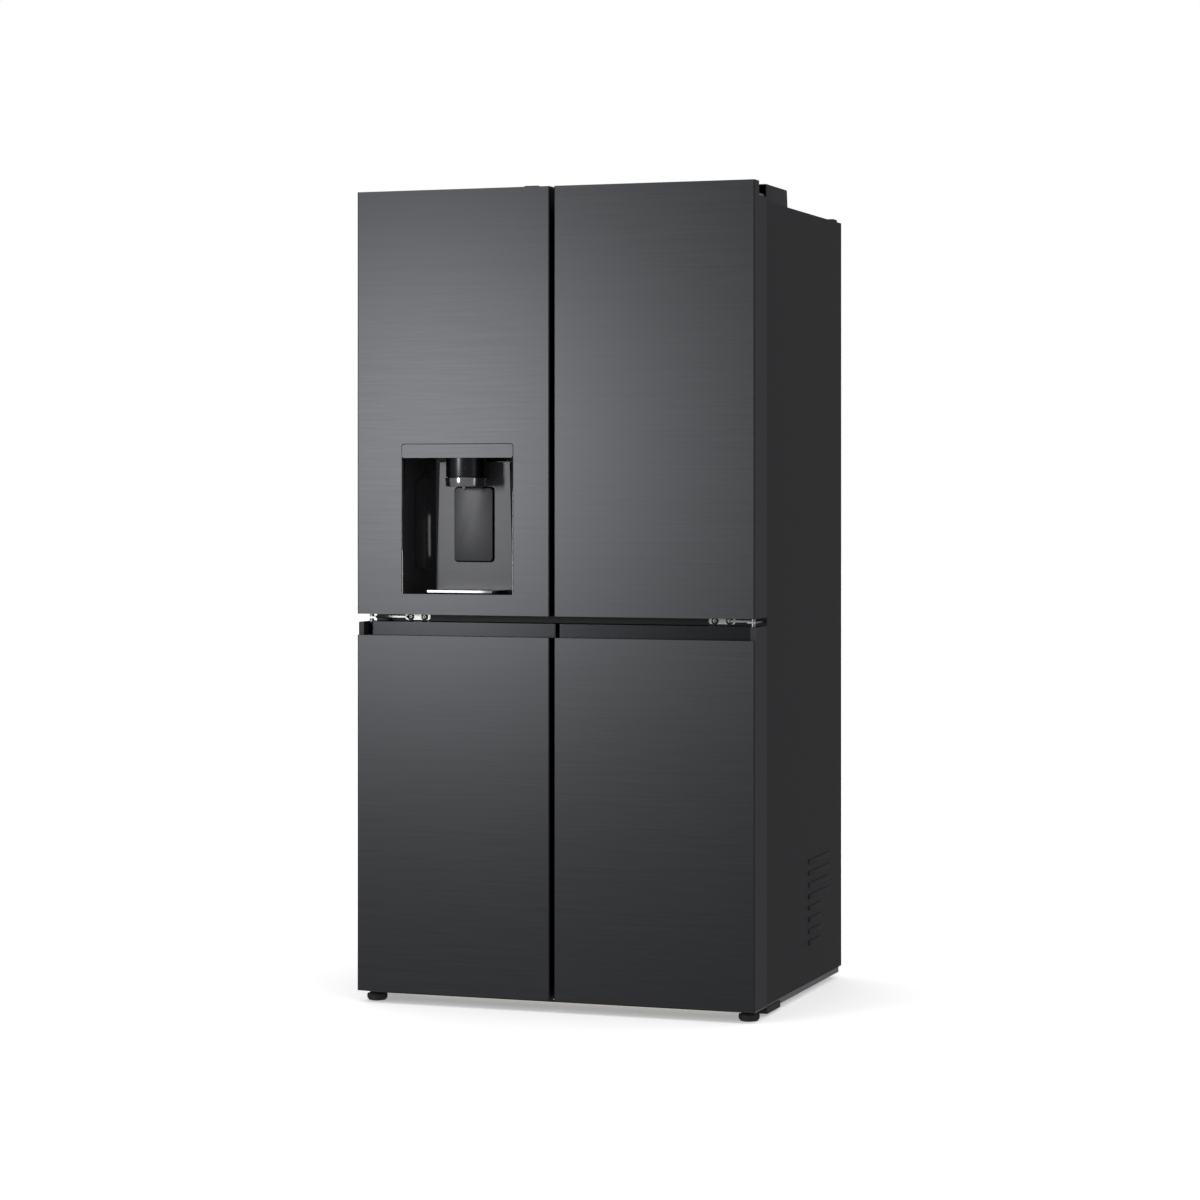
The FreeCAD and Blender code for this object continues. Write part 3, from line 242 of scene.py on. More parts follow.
floor.data.materials.append(floor_paper)


def clear(name, colour, roughness, transmission):
    material = finish(name, colour, [min(1, c * 1.03) for c in colour], 0, roughness, (120, 120, 120), 0.02)
    shader = material.node_tree.nodes["Principled BSDF"]
    shader.inputs["Transmission Weight"].default_value = transmission
    shader.inputs["IOR"].default_value = 1.49
    return material


glass = clear("shelf_glass", (0.86, 0.94, 0.92), (0.02, 0.05), 0.95)
clear_plastic = clear("clear_plastic", (0.9, 0.94, 0.96), (0.06, 0.12), 0.85)

# %% [markdown]
# The CAD nodes whose shape is already right only need their finish: it goes into each node's slots.

# %% Finishes on the CAD nodes
SLOT_FINISH = {
    "painted_case": case_paint, "galvanised_steel": galvanised, "black_plastic": cap_plastic,
    "insulation": foam_cream, "white_liner": white_liner, "zinc_steel": zinc, "shelf_glass": glass,
    "clear_plastic": clear_plastic, "compressor_black": enamel_black, "condenser_metal": enamel_black,
    "brass_fitting": brass, "roller_plastic": nylon, "dark_steel": dark_steel,
    "dispenser_black": gloss_black, "nozzle_metal": nozzle_dark, "bright_ring": bright_metal,
    "cap_plastic": cap_plastic, "gasket_rubber": gasket_grey, "bright_strip": strip_steel_painted_shade,
}
for entry in frame["record"]["subparts"]:
    owner = nodes[entry["node"]]
    if not owner.material_slots:
        owner.data.materials.append(None)
    for place in owner.material_slots:
        place.material = SLOT_FINISH[entry["material_slot"]]

# %% [markdown]
# A few helpers stand for what a modeller does by hand: select one object, select edges by their place,
# bevel them, cut one shape out of another. Each piece ends with its place in its mesh.

# %% Modelling helpers
def only(piece):
    bpy.ops.object.select_all(action="DESELECT")
    piece.select_set(True)
    bpy.context.view_layer.objects.active = piece


def block(name, low, high):
    size = [b - a for a, b in zip(low, high)]
    middle = [(a + b) / 2 for a, b in zip(low, high)]
    bpy.ops.object.select_all(action="DESELECT")
    bpy.ops.mesh.primitive_cube_add(size=1, location=middle, scale=size)
    piece = bpy.context.object
    piece.name = name
    bpy.ops.object.transform_apply()
    return piece


def drum(name, base, radius, height, axis="Z", sides=64, top_radius=None):
    """A closed cylinder or cone that starts at a point and runs along an axis."""
    turn = {"Z": (0, 0, 0), "X": (0, math.pi / 2, 0), "Y": (-math.pi / 2, 0, 0)}[axis]
    step = {"Z": (0, 0, 1), "X": (1, 0, 0), "Y": (0, 1, 0)}[axis]
    middle = [b + s * height / 2 for b, s in zip(base, step)]
    bpy.ops.object.select_all(action="DESELECT")
    bpy.ops.mesh.primitive_cone_add(vertices=sides, radius1=radius, radius2=top_radius or radius,
                                    depth=height,
                                    location=middle, rotation=turn)
    piece = bpy.context.object
    piece.name = name
    bpy.ops.object.transform_apply()
    return piece


def bevel(piece, chosen, width, segments=4):
    """Bevels the edges for which chosen(middle, direction) is true."""
    only(piece)
    mesh = piece.data
    for part in (mesh.vertices, mesh.edges, mesh.polygons):
        part.foreach_set("select", [False] * len(part))
    for edge in mesh.edges:
        a, b = (mesh.vertices[k].co for k in edge.vertices)
        edge.select = bool(chosen((a + b) / 2, (b - a).normalized()))
    bpy.context.tool_settings.mesh_select_mode = (False, True, False)
    bpy.ops.object.mode_set(mode="EDIT")
    bpy.ops.mesh.bevel(offset=width, segments=segments, affect="EDGES", clamp_overlap=True)
    bpy.ops.object.mode_set(mode="OBJECT")
    return piece


def soften(piece, width, segments=3, angle=40):
    """Rounds every sharp edge a little, as moulding and pressing do."""
    only(piece)
    rounding = piece.modifiers.new("rounding", "BEVEL")
    rounding.width, rounding.segments = width, segments
    rounding.limit_method = "ANGLE"
    rounding.angle_limit = math.radians(angle)
    rounding.harden_normals = False
    bpy.ops.object.modifier_apply(modifier=rounding.name)
    return piece


def combine(piece, tool, operation="DIFFERENCE"):
    only(piece)
    change = piece.modifiers.new("combine", "BOOLEAN")
    change.operation, change.solver, change.object = operation, "EXACT", tool
    bpy.ops.object.modifier_apply(modifier=change.name)
    bpy.data.objects.remove(tool)
    return piece


def join(pieces, name):
    only(pieces[0])
    for piece in pieces[1:]:
        piece.select_set(True)
    bpy.ops.object.join()
    pieces[0].name = name
    return pieces[0]


FLAT_FINISHES = (dark_steel, strip_steel_painted_shade, satin_grey)
SMOOTH_ANGLE = 32


def done(piece, body, material, slot, *replaced):
    """Smooths, gives the finish, and hangs the piece on its body."""
    only(piece)
    bpy.ops.object.shade_smooth_by_angle(angle=math.radians(SMOOTH_ANGLE))
    if material in FLAT_FINISHES:
        weighted = piece.modifiers.new("weighted_normals", "WEIGHTED_NORMAL")
        weighted.keep_sharp = True
        bpy.ops.object.modifier_apply(modifier=weighted.name)
    piece.data.materials.clear()
    piece.data.materials.append(material)
    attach(piece, body)
    if replaced:
        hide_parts(*replaced)
    return piece


def upright(middle, direction):
    return abs(direction.z) > 0.99


# %% [markdown]
# Each door's skin is one sheet of steel, folded round the front and both edges. The fold has a small
# even radius that catches a thin line of light, and the sheet's own thickness shows at the top.
# A block is bevelled at its front upright edges, and its inside is cut away to leave the sheet.

# %% Door skins
SHEET = 1.0 * MM
FOLD = 2.8 * MM
panel_low, panel_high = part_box("dispenser_panel")
recess_low, recess_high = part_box("dispenser_housing")
GROOVE = 1.5 * MM


def folded_sheet(node):
    low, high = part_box(node)
    skin = block(node.replace("_skin", "_steel"), low, high)
    bevel(skin, lambda m, d: upright(m, d) and m.y < low[1] + SHEET, FOLD, 6)
    inside = block("inside", (low[0] + SHEET, low[1] + SHEET, low[2] - 1),
                   (high[0] - SHEET, high[1] + 1, high[2] + 1))
    bevel(inside, lambda m, d: upright(m, d) and m.y < low[1] + 2 * SHEET, FOLD - SHEET, 6)
    return combine(skin, inside)


def rounded_cutter(low, high, radius, along):
    """A block to cut with, whose four edges along one axis are rounded."""
    tool = block("cutter", low, high)
    index = "XYZ".index(along)
    return bevel(tool, lambda m, d: abs(d[index]) > 0.99, radius, 6)


SIDES = ((-1, "left"), (1, "right"))
NOTCH_START, NOTCH_DEPTH = 34 * MM, 30 * MM
NOTCH_INNER, NOTCH_OUTER = 411 * MM, 460 * MM
OPENING_RADIUS = 6 * MM
OPENING_FLOOR = 2.7 * MM
for side, word in SIDES:
    node = f"door_upper_{word}_skin"
    low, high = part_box(node)
    skin = folded_sheet(node)
    notch_x = sorted((side * NOTCH_INNER, side * NOTCH_OUTER))
    notch = block("notch", (notch_x[0], low[1] + NOTCH_START, high[2] - NOTCH_DEPTH),
                  (notch_x[1], high[1] + 1, high[2] + 1))
    combine(skin, notch)
    if side < 0:
        opening = rounded_cutter((panel_low[0] - GROOVE, low[1] - 1, recess_low[2] + OPENING_FLOOR),
                                 (panel_high[0] + GROOVE, low[1] + 0.05, panel_high[2] + GROOVE),
                                 OPENING_RADIUS, "Y")
        combine(skin, opening)
    done(skin, f"door_upper_{word}", dark_steel, "dark_steel", node)

LIP = 12 * MM
STRIP_HEIGHT = 29 * MM
SIDE_FOLD = 2.2 * MM
SET_BACK_WIDTH, SET_BACK_DEPTH = 4 * MM, 9 * MM
for side, word in SIDES:
    node = f"door_lower_{word}_skin"
    low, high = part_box(node)
    strip_low, strip_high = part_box(f"door_lower_{word}_handle_strip")
    panel_top = high[2] - STRIP_HEIGHT
    skin = folded_sheet(node)
    outer = high[0] if side > 0 else low[0]
    x = (low[0] - 1, outer - SIDE_FOLD) if side > 0 else (outer + SIDE_FOLD, high[0] + 1)
    combine(skin, block("above", (x[0], low[1] - 1, panel_top), (x[1], strip_high[1], high[2] + 1)))
    x = (outer - SET_BACK_WIDTH, outer + 1) if side > 0 else (outer - 1, outer + SET_BACK_WIDTH)
    combine(skin, block("set_back", (x[0], low[1] - 1, panel_top),
                        (x[1], low[1] + SET_BACK_DEPTH, high[2] + 1)))
    x = sorted((strip_low[0] if side > 0 else strip_high[0], (outer - side * 1.2 * MM)))
    lip = block("lip", (x[0], low[1] + 0.1 * MM, panel_top - 0.2 * MM),
                (x[1], low[1] + LIP + SHEET, panel_top + 0.7 * MM))
    bevel(lip, lambda m, d: abs(d.x) > 0.99, 0.35 * MM, 3)
    join([skin, lip], skin.name)
    done(skin, f"door_lower_{word}", dark_steel, "dark_steel", node)
    # The strip's end piece takes the strip's darkened steel, whose extra darkness is painted shade.
    x = sorted((outer - side * 2.4 * MM, strip_high[0] - 1 * MM if side > 0 else strip_low[0] + 1 * MM))
    filler = block("strip_end", (x[0], strip_low[1] + 0.1 * MM, strip_low[2]),
                   (x[1], strip_low[1] + 1.5 * MM, strip_high[2]))
    done(soften(filler, 0.3 * MM), f"door_lower_{word}", strip_steel_painted_shade, "bright_strip")

# %% [markdown]
# The recess behind the glass-filling place is a black moulding. Its side walls start straight and curve
# in towards a lighter back panel with crisp edges. The space is grown from a thin block by extruding
# its back face in steps and narrowing each step, and is then cut out of the moulding.

# %% Selecting and growing
def pick_vertices(piece, chosen):
    only(piece)
    mesh = piece.data
    for part in (mesh.vertices, mesh.edges, mesh.polygons):
        part.foreach_set("select", [False] * len(part))
    for vertex in mesh.vertices:
        vertex.select = bool(chosen(vertex.co))
    bpy.context.tool_settings.mesh_select_mode = (True, False, False)
    bpy.ops.object.mode_set(mode="EDIT")


def resize_part(piece, chosen, factors, centre):
    pick_vertices(piece, chosen)
    bpy.ops.transform.resize(value=factors, center_override=centre)
    bpy.ops.object.mode_set(mode="OBJECT")


def grow(piece, chosen, move, factors, centre):
    pick_vertices(piece, chosen)
    bpy.ops.mesh.extrude_region_move(TRANSFORM_OT_translate={"value": move})
    bpy.ops.transform.resize(value=factors, center_override=centre)
    bpy.ops.object.mode_set(mode="OBJECT")


# %% Dispenser recess
FRONT = cad_box[0][1]
centre_x = (panel_low[0] + panel_high[0]) / 2
paddle_low, paddle_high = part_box("dispenser_paddle")
nozzle_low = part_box("dispenser_nozzle")[0]
ring_low, ring_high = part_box("nozzle_ring")
RECESS_BACK = FRONT + 106 * MM
RECESS_FLOOR = recess_low[2] + 3 * MM
STEPS = 9
STRAIGHT = 6 * MM
CURVE = 2.4

shell = block("dispenser_recess", (recess_low[0], FRONT + 1.2 * MM, recess_low[2]), tuple(recess_high))
combine(shell, block("panel_room", (recess_low[0] - 1, FRONT - 1, panel_low[2]),
                     (recess_high[0] + 1, panel_high[1], 2)))
space = block("space", (panel_low[0] + 2 * MM, FRONT - 5 * MM, RECESS_FLOOR),
              (panel_high[0] - 2 * MM, FRONT + STRAIGHT, panel_low[2]))
front_half, back_half = (panel_high[0] - panel_low[0]) / 2 - 2 * MM, 92 * MM
reach = RECESS_BACK - FRONT - STRAIGHT
half = front_half
for step in range(1, STEPS + 1):
    share = step / STEPS
    next_half = back_half + (front_half - back_half) * (1 - share ** CURVE)
    level = FRONT + STRAIGHT + reach * (step - 1) / STEPS
    grow(space, lambda co: abs(co.y - level) < 1e-5, (0, reach / STEPS, 0), (next_half / half, 1, 1),
         (centre_x, 0, 0))
    half = next_half
combine(shell, space)
paddle_half = 45 * MM
GAP = 2.6 * MM
CORNER = 9 * MM
PADDLE_TOP = nozzle_low[2] + 4.9 * MM
combine(shell, rounded_cutter((centre_x - paddle_half - GAP + 0.2 * MM, RECESS_BACK - 1 * MM,
                               paddle_low[2] - GAP),
                              (centre_x + paddle_half + GAP - 0.2 * MM, RECESS_BACK + 12 * MM,
                               PADDLE_TOP + GAP), CORNER, "Y"))
soften(shell, 0.8 * MM, 2)
done(shell, "door_upper_left", gloss_black, "dispenser_black", "dispenser_housing")

# %% [markdown]
# The back panel is a thin satin plate, a little wider at its foot, with a window for the paddle. A thin lip
# runs along its top, bright polished so that it shows a painted highlight line, and a dark foot rail along
# its bottom.

# %% Recess back panel
plate = block("recess_back_plate", (centre_x - 83 * MM, RECESS_BACK - 1.4 * MM, RECESS_FLOOR + 5 * MM),
              (centre_x + 83 * MM, RECESS_BACK + 0.2 * MM, panel_low[2] - 9 * MM))
resize_part(plate, lambda co: co.z < 1, (91 / 83, 1, 1), (centre_x, 0, 0))
combine(plate, rounded_cutter((centre_x - paddle_half - GAP, RECESS_BACK - 1, paddle_low[2] - GAP),
                              (centre_x + paddle_half + GAP, RECESS_BACK + 1, PADDLE_TOP + GAP), CORNER, "Y"))
soften(plate, 0.4 * MM, 2)
done(plate, "door_upper_left", satin_grey, "dispenser_black")
# The lip stands for a real edge, but its bright polished colour is painted highlight: the line of light along
# the panel's top edge.
lip = block("recess_top_lip_painted_highlight", (centre_x - 87 * MM, RECESS_BACK - 5 * MM, panel_low[2] - 9 * MM),
            (centre_x + 87 * MM, RECESS_BACK - 0.5 * MM, panel_low[2] - 7.2 * MM))
done(soften(lip, 0.5 * MM), "door_upper_left", bright_metal, "bright_ring")
rail = block("recess_foot_rail", (centre_x - 93 * MM, RECESS_BACK - 7 * MM, RECESS_FLOOR),
             (centre_x + 93 * MM, RECESS_BACK - 0.6 * MM, RECESS_FLOOR + 7 * MM))
done(soften(rail, 1.2 * MM), "door_upper_left", cap_plastic, "dispenser_black")
bracket = block("paddle_bracket", (centre_x - 21 * MM, RECESS_BACK - 9 * MM, PADDLE_TOP + 0.3 * MM),
                (centre_x + 23 * MM, RECESS_BACK - 0.4 * MM, ring_low[2] + 6 * MM))
done(soften(bracket, 1 * MM), "door_upper_left", gloss_black, "dispenser_black")

# %% Paddle
paddle = block("water_paddle", (centre_x - paddle_half, paddle_low[1], paddle_low[2]),
               (centre_x + paddle_half, paddle_low[1] + 4 * MM, PADDLE_TOP))
bevel(paddle, lambda m, d: abs(d.y) > 0.99, 8 * MM, 8)
soften(paddle, 0.8 * MM, 3)
thumb = drum("thumb_mark", (centre_x, paddle_low[1] - 1, PADDLE_TOP + 2 * MM), 12 * MM, 1 + 0.5 * MM, "Y")
thumb_core = drum("thumb_core", (centre_x, paddle_low[1] - 2, PADDLE_TOP + 2.9 * MM), 11.6 * MM, 4, "Y")
combine(thumb, thumb_core)
combine(thumb, block("thumb_limit", (centre_x - 1, -2, PADDLE_TOP - 8 * MM), (centre_x + 1, 2, 3)))
combine(paddle, thumb)
hinge_arm = block("paddle_arm", (centre_x - 30 * MM, paddle_low[1] + 3 * MM, PADDLE_TOP - 10 * MM),
                  (centre_x + 30 * MM, RECESS_BACK + 4 * MM, PADDLE_TOP - 6 * MM))
paddle_pin = drum("paddle_pin", (paddle_low[0], RECESS_BACK + 4 * MM, PADDLE_TOP - 8 * MM), 2.5 * MM,
                  paddle_high[0] - paddle_low[0], "X", 24)
join([paddle, soften(hinge_arm, 0.8 * MM), paddle_pin], "water_paddle")
done(paddle, "dispenser_paddle", paddle_grey, "dispenser_black", "dispenser_paddle")

# %% [markdown]
# The nozzle is a turned dark drum over a bright tapered ring, with a small bright spout under it. Three
# raised touch marks on its front are plain dots.

# %% Nozzle
ROUND = 96
DRUM_RADIUS = 44.6 * MM
MARK_TURNS, MARK_RADIUS, MARK_HEIGHT = (-46, -14, 18), 1.5 * MM, 1.177
nozzle_y = FRONT + 55 * MM
head = drum("nozzle_drum", (centre_x, nozzle_y, ring_high[2] + 1 * MM), DRUM_RADIUS,
            panel_low[2] - ring_high[2] - 1 * MM, sides=ROUND)
bevel(head, lambda m, d: abs(m.z - ring_high[2] - 1 * MM) < 1e-4 and abs(d.z) < 0.1, 1.4 * MM, 4)
seat = drum("nozzle_seat", (centre_x, nozzle_y, ring_high[2] - 0.4 * MM), 41 * MM, 2 * MM, sides=ROUND)
marks = []
for turn in MARK_TURNS:
    angle = math.radians(-90 + turn)
    spot = (centre_x + 44.4 * MM * math.cos(angle), nozzle_y + 44.4 * MM * math.sin(angle), MARK_HEIGHT)
    bpy.ops.object.select_all(action="DESELECT")
    bpy.ops.mesh.primitive_uv_sphere_add(segments=16, ring_count=8, radius=MARK_RADIUS, location=spot,
                                         scale=(1, 1, 0.6))
    marks.append(bpy.context.object)
    bpy.ops.object.transform_apply()
join([head, seat], "nozzle_drum")
done(head, "door_upper_left", nozzle_dark, "nozzle_metal", "dispenser_nozzle")
done(join(marks, "nozzle_marks"), "door_upper_left", bright_metal, "bright_ring")
ring = drum("nozzle_bright_ring", (centre_x, nozzle_y, ring_low[2]), 44.8 * MM, ring_high[2] - ring_low[2],
            sides=ROUND,
            top_radius=46.3 * MM)
combine(ring, drum("bore", (centre_x, nozzle_y, ring_low[2] - 1), 40.5 * MM, 3, sides=ROUND))
soften(ring, 1.1 * MM, 4, 50)
done(ring, "door_upper_left", bright_metal, "bright_ring", "nozzle_ring")
underside = drum("nozzle_underside", (centre_x, nozzle_y, ring_low[2] + 3 * MM), 40.6 * MM, 12 * MM, sides=64)
done(soften(underside, 0.6 * MM), "door_upper_left", gloss_black, "dispenser_black")
spout = drum("spout_tip", (centre_x, nozzle_y - 15 * MM, nozzle_low[2]), 4.2 * MM, 16 * MM, sides=32,
             top_radius=5 * MM)
soften(spout, 0.9 * MM, 3, 50)
combine(spout, drum("spout_bore", (centre_x, nozzle_y - 15 * MM, nozzle_low[2] - 1), 2.6 * MM, 1 + 8 * MM,
                    sides=24))
done(spout, "door_upper_left", bright_metal, "bright_ring")

# %% [markdown]
# The hinge covers on the roof are thin black mouldings with rounded shoulders and a seam above the
# screw. Each is a block with its top edges rounded, hollowed from below and open at the front.

# %% Hinge covers
cover_low, cover_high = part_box("hinge_covers")
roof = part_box("outer_case")[1][2]
COVER_INNER = 352 * MM
for side, word in SIDES:
    x = (COVER_INNER, cover_high[0]) if side > 0 else (cover_low[0], -COVER_INNER)
    cover = block(f"hinge_cover_{word}", (x[0], cover_low[1], roof + 0.1 * MM),
                  (x[1], cover_high[1], cover_high[2]))
    resize_part(cover, lambda co: co.z > roof + 0.01 and co.y > cover_high[1] - 0.001, (1, 0.97, 1),
                (0, cover_low[1], 0))
    bevel(cover, upright, 4 * MM, 5)
    bevel(cover, lambda m, d: m.z > cover_high[2] - 1e-5, 2.6 * MM, 4)
    combine(cover, block("room", (x[0] + 2 * MM, cover_low[1] - 9 * MM, roof - 1),
                         (x[1] - 2 * MM, cover_high[1] - 8 * MM,
                                                                             cover_high[2] - 2 * MM)))
    seam_y = cover_low[1] + 96 * MM
    combine(cover, block("seam", (x[0] - 1, seam_y, cover_high[2] - 0.5 * MM),
                         (x[1] + 1, seam_y + 0.8 * MM, 3)))
    cap_x = (x[0] + x[1]) / 2
    cap = drum("screw_cap", (cap_x, seam_y + 30 * MM, cover_high[2] - 1 * MM), 7 * MM, 1.2 * MM, sides=48)
    join([cover, soften(cap, 0.3 * MM)], cover.name)
    done(cover, "cabinet", cap_plastic, "black_plastic", *(["hinge_covers"] if side > 0 else []))

# %% [markdown]
# The louvres in the cabinet's sides are pressed out of the sheet: each is a shallow hood that opens
# downwards. A loop makes the rows up each side, long ones above short ones.

# %% Side louvres
LOUVRE_PITCH, LOUVRE_FIRST, LOUVRE_START = 26 * MM, 110 * MM, 437 * MM
LOUVRE_ROWS, SHORT_ROWS = 8, 4
HOOD_ROOT, HOOD_RISE = 0.5 * MM, 2.4 * MM
SHORT_LOUVRE, LONG_LOUVRE = 93 * MM, 168 * MM
case_half = 454 * MM
for side, word in SIDES:
    rows = []
    for row in range(LOUVRE_ROWS):
        length = SHORT_LOUVRE if row < SHORT_ROWS else LONG_LOUVRE
        foot = LOUVRE_FIRST + row * LOUVRE_PITCH
        x = sorted((side * (case_half - HOOD_ROOT), side * (case_half + HOOD_RISE)))
        hood = block("louvre", (x[0], FRONT + LOUVRE_START - 3 * MM, foot - 1 * MM),
                     (x[1], FRONT + LOUVRE_START + length + 3 * MM, foot + 10 * MM))
        face = x[1] if side > 0 else x[0]
        bevel(hood, lambda m, d: abs(m.x - face) < 1e-5 and (m.z > foot or abs(d.z) > 0.9), 2.2 * MM, 5)
        rows.append(hood)
    done(join(rows, f"louvres_{word}"), "cabinet", case_paint, "painted_case")

# %% [markdown]
# Screws: a domed head with a cross recess, turned from a drum and cut by two bars. One is made
# at every place that the CAD model has one. The middle hinges' screws sit in dark seats.

# %% Islands of a CAD node
def islands(node):
    """The box of each separate solid in a CAD node, read from a merged copy."""
    twin = nodes[node].copy()
    twin.data = nodes[node].data.copy()
    bpy.context.collection.objects.link(twin)
    twin.parent = None
    only(twin)
    bpy.ops.object.mode_set(mode="EDIT")
    bpy.ops.mesh.select_all(action="SELECT")
    bpy.ops.mesh.remove_doubles(threshold=0.00001)
    bpy.ops.mesh.separate(type="LOOSE")
    bpy.ops.object.mode_set(mode="OBJECT")
    boxes = []
    for part in list(bpy.context.selected_objects):
        points = [v.co for v in part.data.vertices]
        boxes.append((Vector([min(p[k] for p in points) for k in range(3)]),
                      Vector([max(p[k] for p in points) for k in range(3)])))
        bpy.data.objects.remove(part)
    return sorted(boxes, key=lambda b: (round(b[0].z, 4), b[0].x))


# %% Screws
def screw(low, high):
    size = high - low
    if size.y < size.x * 0.8:
        head = drum("screw", ((low.x + high.x) / 2, low.y, (low.z + high.z) / 2), size.x / 2, size.y, "Y", 32)
        bars = [((-0.6, -9, -0.16), (0.6, 0.5, 0.16)), ((-0.16, -9, -0.6), (0.16, 0.5, 0.6))]
    else:
        head = drum("screw", ((low.x + high.x) / 2, (low.y + high.y) / 2, low.z), size.x / 2, size.z, "Z", 32)
        bars = [((-0.6, -0.16, -0.5), (0.6, 0.16, 9)), ((-0.16, -0.6, -0.5), (0.16, 0.6, 9))]
    soften(head, size.x / 12, 3, 50)
    middle, unit = (low + high) / 2, size.x / 2
    for start, end in bars:
        combine(head, block("bar", [m + unit * v for m, v in zip(middle, start)],
                            [m + unit * v for m, v in zip(middle, end)]))
    return head


screw_boxes = islands("hinge_screws")
heads = [screw(low, high) for low, high in screw_boxes]
print("screws", len(heads))
done(join(heads, "hinge_screw_heads"), "cabinet", zinc, "zinc_steel", "hinge_screws")

seats = []
for low, high in screw_boxes:
    if high.y - low.y < (high.x - low.x) * 0.8:
        seat = drum("screw_seat", ((low.x + high.x) / 2, high.y - 0.6 * MM, (low.z + high.z) / 2), 8 * MM,
                    0.8 * MM, "Y", 48)
        seats.append(seat)
done(join(seats, "hinge_screw_seats"), "cabinet", cap_plastic, "black_plastic")

# %% [markdown]
# The levelling feet are black discs with a chamfered sole and finger ribs round the rim, so that they
# can be turned by hand. The ribs are small bars, set round the disc in a loop.

# %% Feet
RIBS = 24
for word in ("left", "right"):
    low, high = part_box(f"levelling_foot_{word}")
    x, y = (low[0] + high[0]) / 2, (low[1] + high[1]) / 2
    sole = drum("sole", (x, y, 0), 18.5 * MM, 4.5 * MM, sides=64, top_radius=22 * MM)
    rim = drum("rim", (x, y, 4.5 * MM), 22 * MM, 9.5 * MM, sides=64)
    collar = drum("collar", (x, y, 14 * MM), 19 * MM, 4 * MM, sides=64, top_radius=16 * MM)
    stud = drum("stud", (x, y, 17 * MM), 5 * MM, high[2] - 17 * MM, sides=32)
    ribs = []
    for k in range(RIBS):
        angle = math.radians(360 / RIBS * k)
        rib = block("rib", (21 * MM, -1.1 * MM, 5 * MM), (22.5 * MM, 1.1 * MM, 13.5 * MM))
        only(rib)
        rib.rotation_euler.z = angle
        rib.location = (x, y, 0)
        bpy.ops.object.transform_apply()
        ribs.append(rib)
    foot = join([soften(sole, 0.5 * MM, 2, 20), rim, soften(collar, 0.6 * MM), stud] + ribs, f"foot_{word}")
    done(foot, f"levelling_foot_{word}", cap_plastic, "black_plastic", f"levelling_foot_{word}")

# %% [markdown]
# The gaskets are soft extrusions with bellows. A square ring is cut from a block, and two shallow
# grooves run round its outside.

# %% Gaskets
GASKET_WIDTH = 14 * MM
GROOVE_DEPTH = 1.2 * MM
for word in ("upper_left", "upper_right", "lower_left", "lower_right"):
    node = f"door_{word}_gasket"
    low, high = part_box(node)
    ring = block(f"gasket_{word}", low, high)
    width = GASKET_WIDTH
    hole = block("hole", (low[0] + width, -2, low[2] + width), (high[0] - width, 2, high[2] - width))
    combine(ring, hole)
    soften(ring, 1.6 * MM, 3)
    for y in (low[1] + 3.2 * MM, low[1] + 6 * MM):
        frame_bar = block("groove", (low[0] - 1, y, low[2] - 1), (high[0] + 1, y + 0.9 * MM, high[2] + 1))
        combine(frame_bar, block("keep", (low[0] + GROOVE_DEPTH, -2, low[2] + GROOVE_DEPTH),
                                 (high[0] - GROOVE_DEPTH, 2, high[2] - GROOVE_DEPTH)))
        combine(ring, frame_bar)
    done(ring, f"door_{word}", gasket_grey, "gasket_rubber", node)

# %% [markdown]
# Door bins are clear mouldings with wide corner radii and a thickened white rim. Each is
# modelled in the box of its CAD solid.

# %% Door bins
def tray(name, low, high, wall, corner, rim):
    body = block(name, low, high)
    bevel(body, upright, corner, 8)
    room = block("room", (low[0] + wall, low[1] + wall, low[2] + wall),
                 (high[0] - wall, high[1] - wall, high[2] + 1))
    bevel(room, upright, corner - wall, 8)
    combine(body, room)
    soften(body, wall / 4, 2)
    edge = block("edge", (low[0], low[1], high[2] - rim), (high[0], high[1], high[2]))
    bevel(edge, upright, corner, 8)
    inner = block("inner", (low[0] + wall * 1.5, low[1] + wall * 1.5, -1),
                  (high[0] - wall * 1.5, high[1] - wall * 1.5, 3))
    bevel(inner, upright, corner - wall * 1.5, 8)
    combine(edge, inner)
    return body, soften(edge, wall / 3, 3)


for word in ("left", "right"):
    node = f"door_upper_{word}_bins"
    bodies, rims = [], []
    for low, high in islands(node):
        body, rim = tray("bin", low, high, 2.5 * MM, 16 * MM, 9 * MM)
        bodies.append(body)
        rims.append(rim)
    done(join(bodies, f"bins_{word}"), f"door_upper_{word}", clear_plastic, "clear_plastic", node)
    done(join(rims, f"bin_rims_{word}"), f"door_upper_{word}", white_liner, "white_liner")

# %% [markdown]
# Each glass shelf has a moulded white front edge with a bright strip let into it.

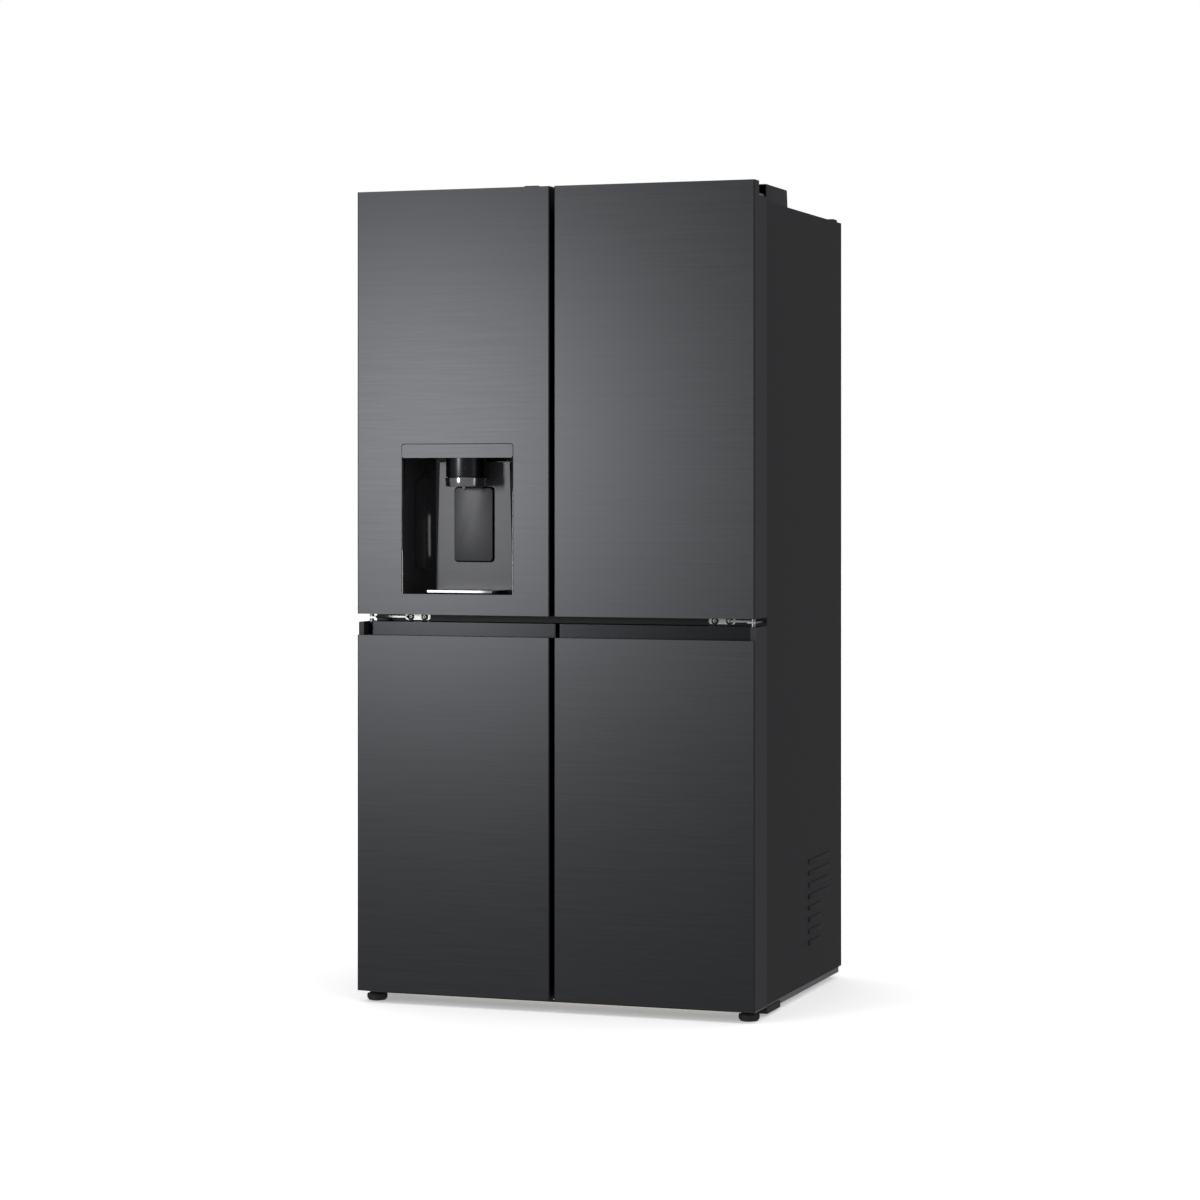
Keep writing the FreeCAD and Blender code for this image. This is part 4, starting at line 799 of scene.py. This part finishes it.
# %% Shelf edges
edges, strips = [], []
for low, high in islands("glass_shelves"):
    edge = block("shelf_edge", (low.x, low.y - 1 * MM, low.z - 2 * MM),
                 (high.x, low.y + 16 * MM, low.z + 0.4 * MM))
    nose = block("shelf_nose", (low.x, low.y - 6 * MM, low.z - 4 * MM),
                 (high.x, low.y - 0.2 * MM, high.z + 1 * MM))
    edges.append(soften(edge, 0.5 * MM, 2))
    edges.append(soften(nose, 2 * MM, 4))
    strips.append(soften(block("strip", (low.x + 4 * MM, low.y - 6.5 * MM, low.z),
                               (high.x - 4 * MM, low.y - 5.7 * MM, low.z + 4 * MM)),
                         0.2 * MM, 2))
done(join(edges, "shelf_edges"), "cabinet", white_liner, "white_liner")
done(join(strips, "shelf_strips"), "cabinet", bright_metal, "bright_strip")

# %% [markdown]
# The drawers' fronts get a rolled grip along the top, and the back sheet gets the shallow pressed
# panels that keep thin steel from drumming.

# %% Drawer grips and back panel
for node in [name for name in nodes if name.startswith(("crisper_", "freezer_drawer_"))]:
    low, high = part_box(node)
    grip = block(node + "_grip", (low[0] + 8 * MM, low[1] - 9 * MM, high[2] - 22 * MM),
                 (high[0] - 8 * MM, low[1] + 0.5 * MM, high[2]))
    scoop = block("scoop", (low[0] - 1, low[1] - 7 * MM, high[2] - 30 * MM),
                  (high[0] + 1, low[1] - 0.5 * MM, high[2] - 4 * MM))
    combine(grip, scoop)
    done(soften(grip, 0.9 * MM, 3), node, white_liner, "white_liner")

low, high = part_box("back_panel")
pressed = []
for column in range(2):
    for row in range(3):
        x = low[0] + 40 * MM + column * (high[0] - low[0] - 40 * MM) / 2
        z = low[2] + 40 * MM + row * (high[2] - low[2] - 70 * MM) / 3
        wide, tall = (high[0] - low[0]) / 2 - 60 * MM, (high[2] - low[2]) / 3 - 50 * MM
        pad = block("pad", (x, high[1] - 0.5 * MM, z), (x + wide, high[1] + 2 * MM, z + tall))
        bevel(pad, lambda m, d: abs(d.y) > 0.99, 14 * MM, 6)
        bevel(pad, lambda m, d: m.y > high[1] + 1 * MM, 1.6 * MM, 3)
        pressed.append(pad)
done(join(pressed, "back_pressings"), "cabinet", galvanised, "galvanised_steel")
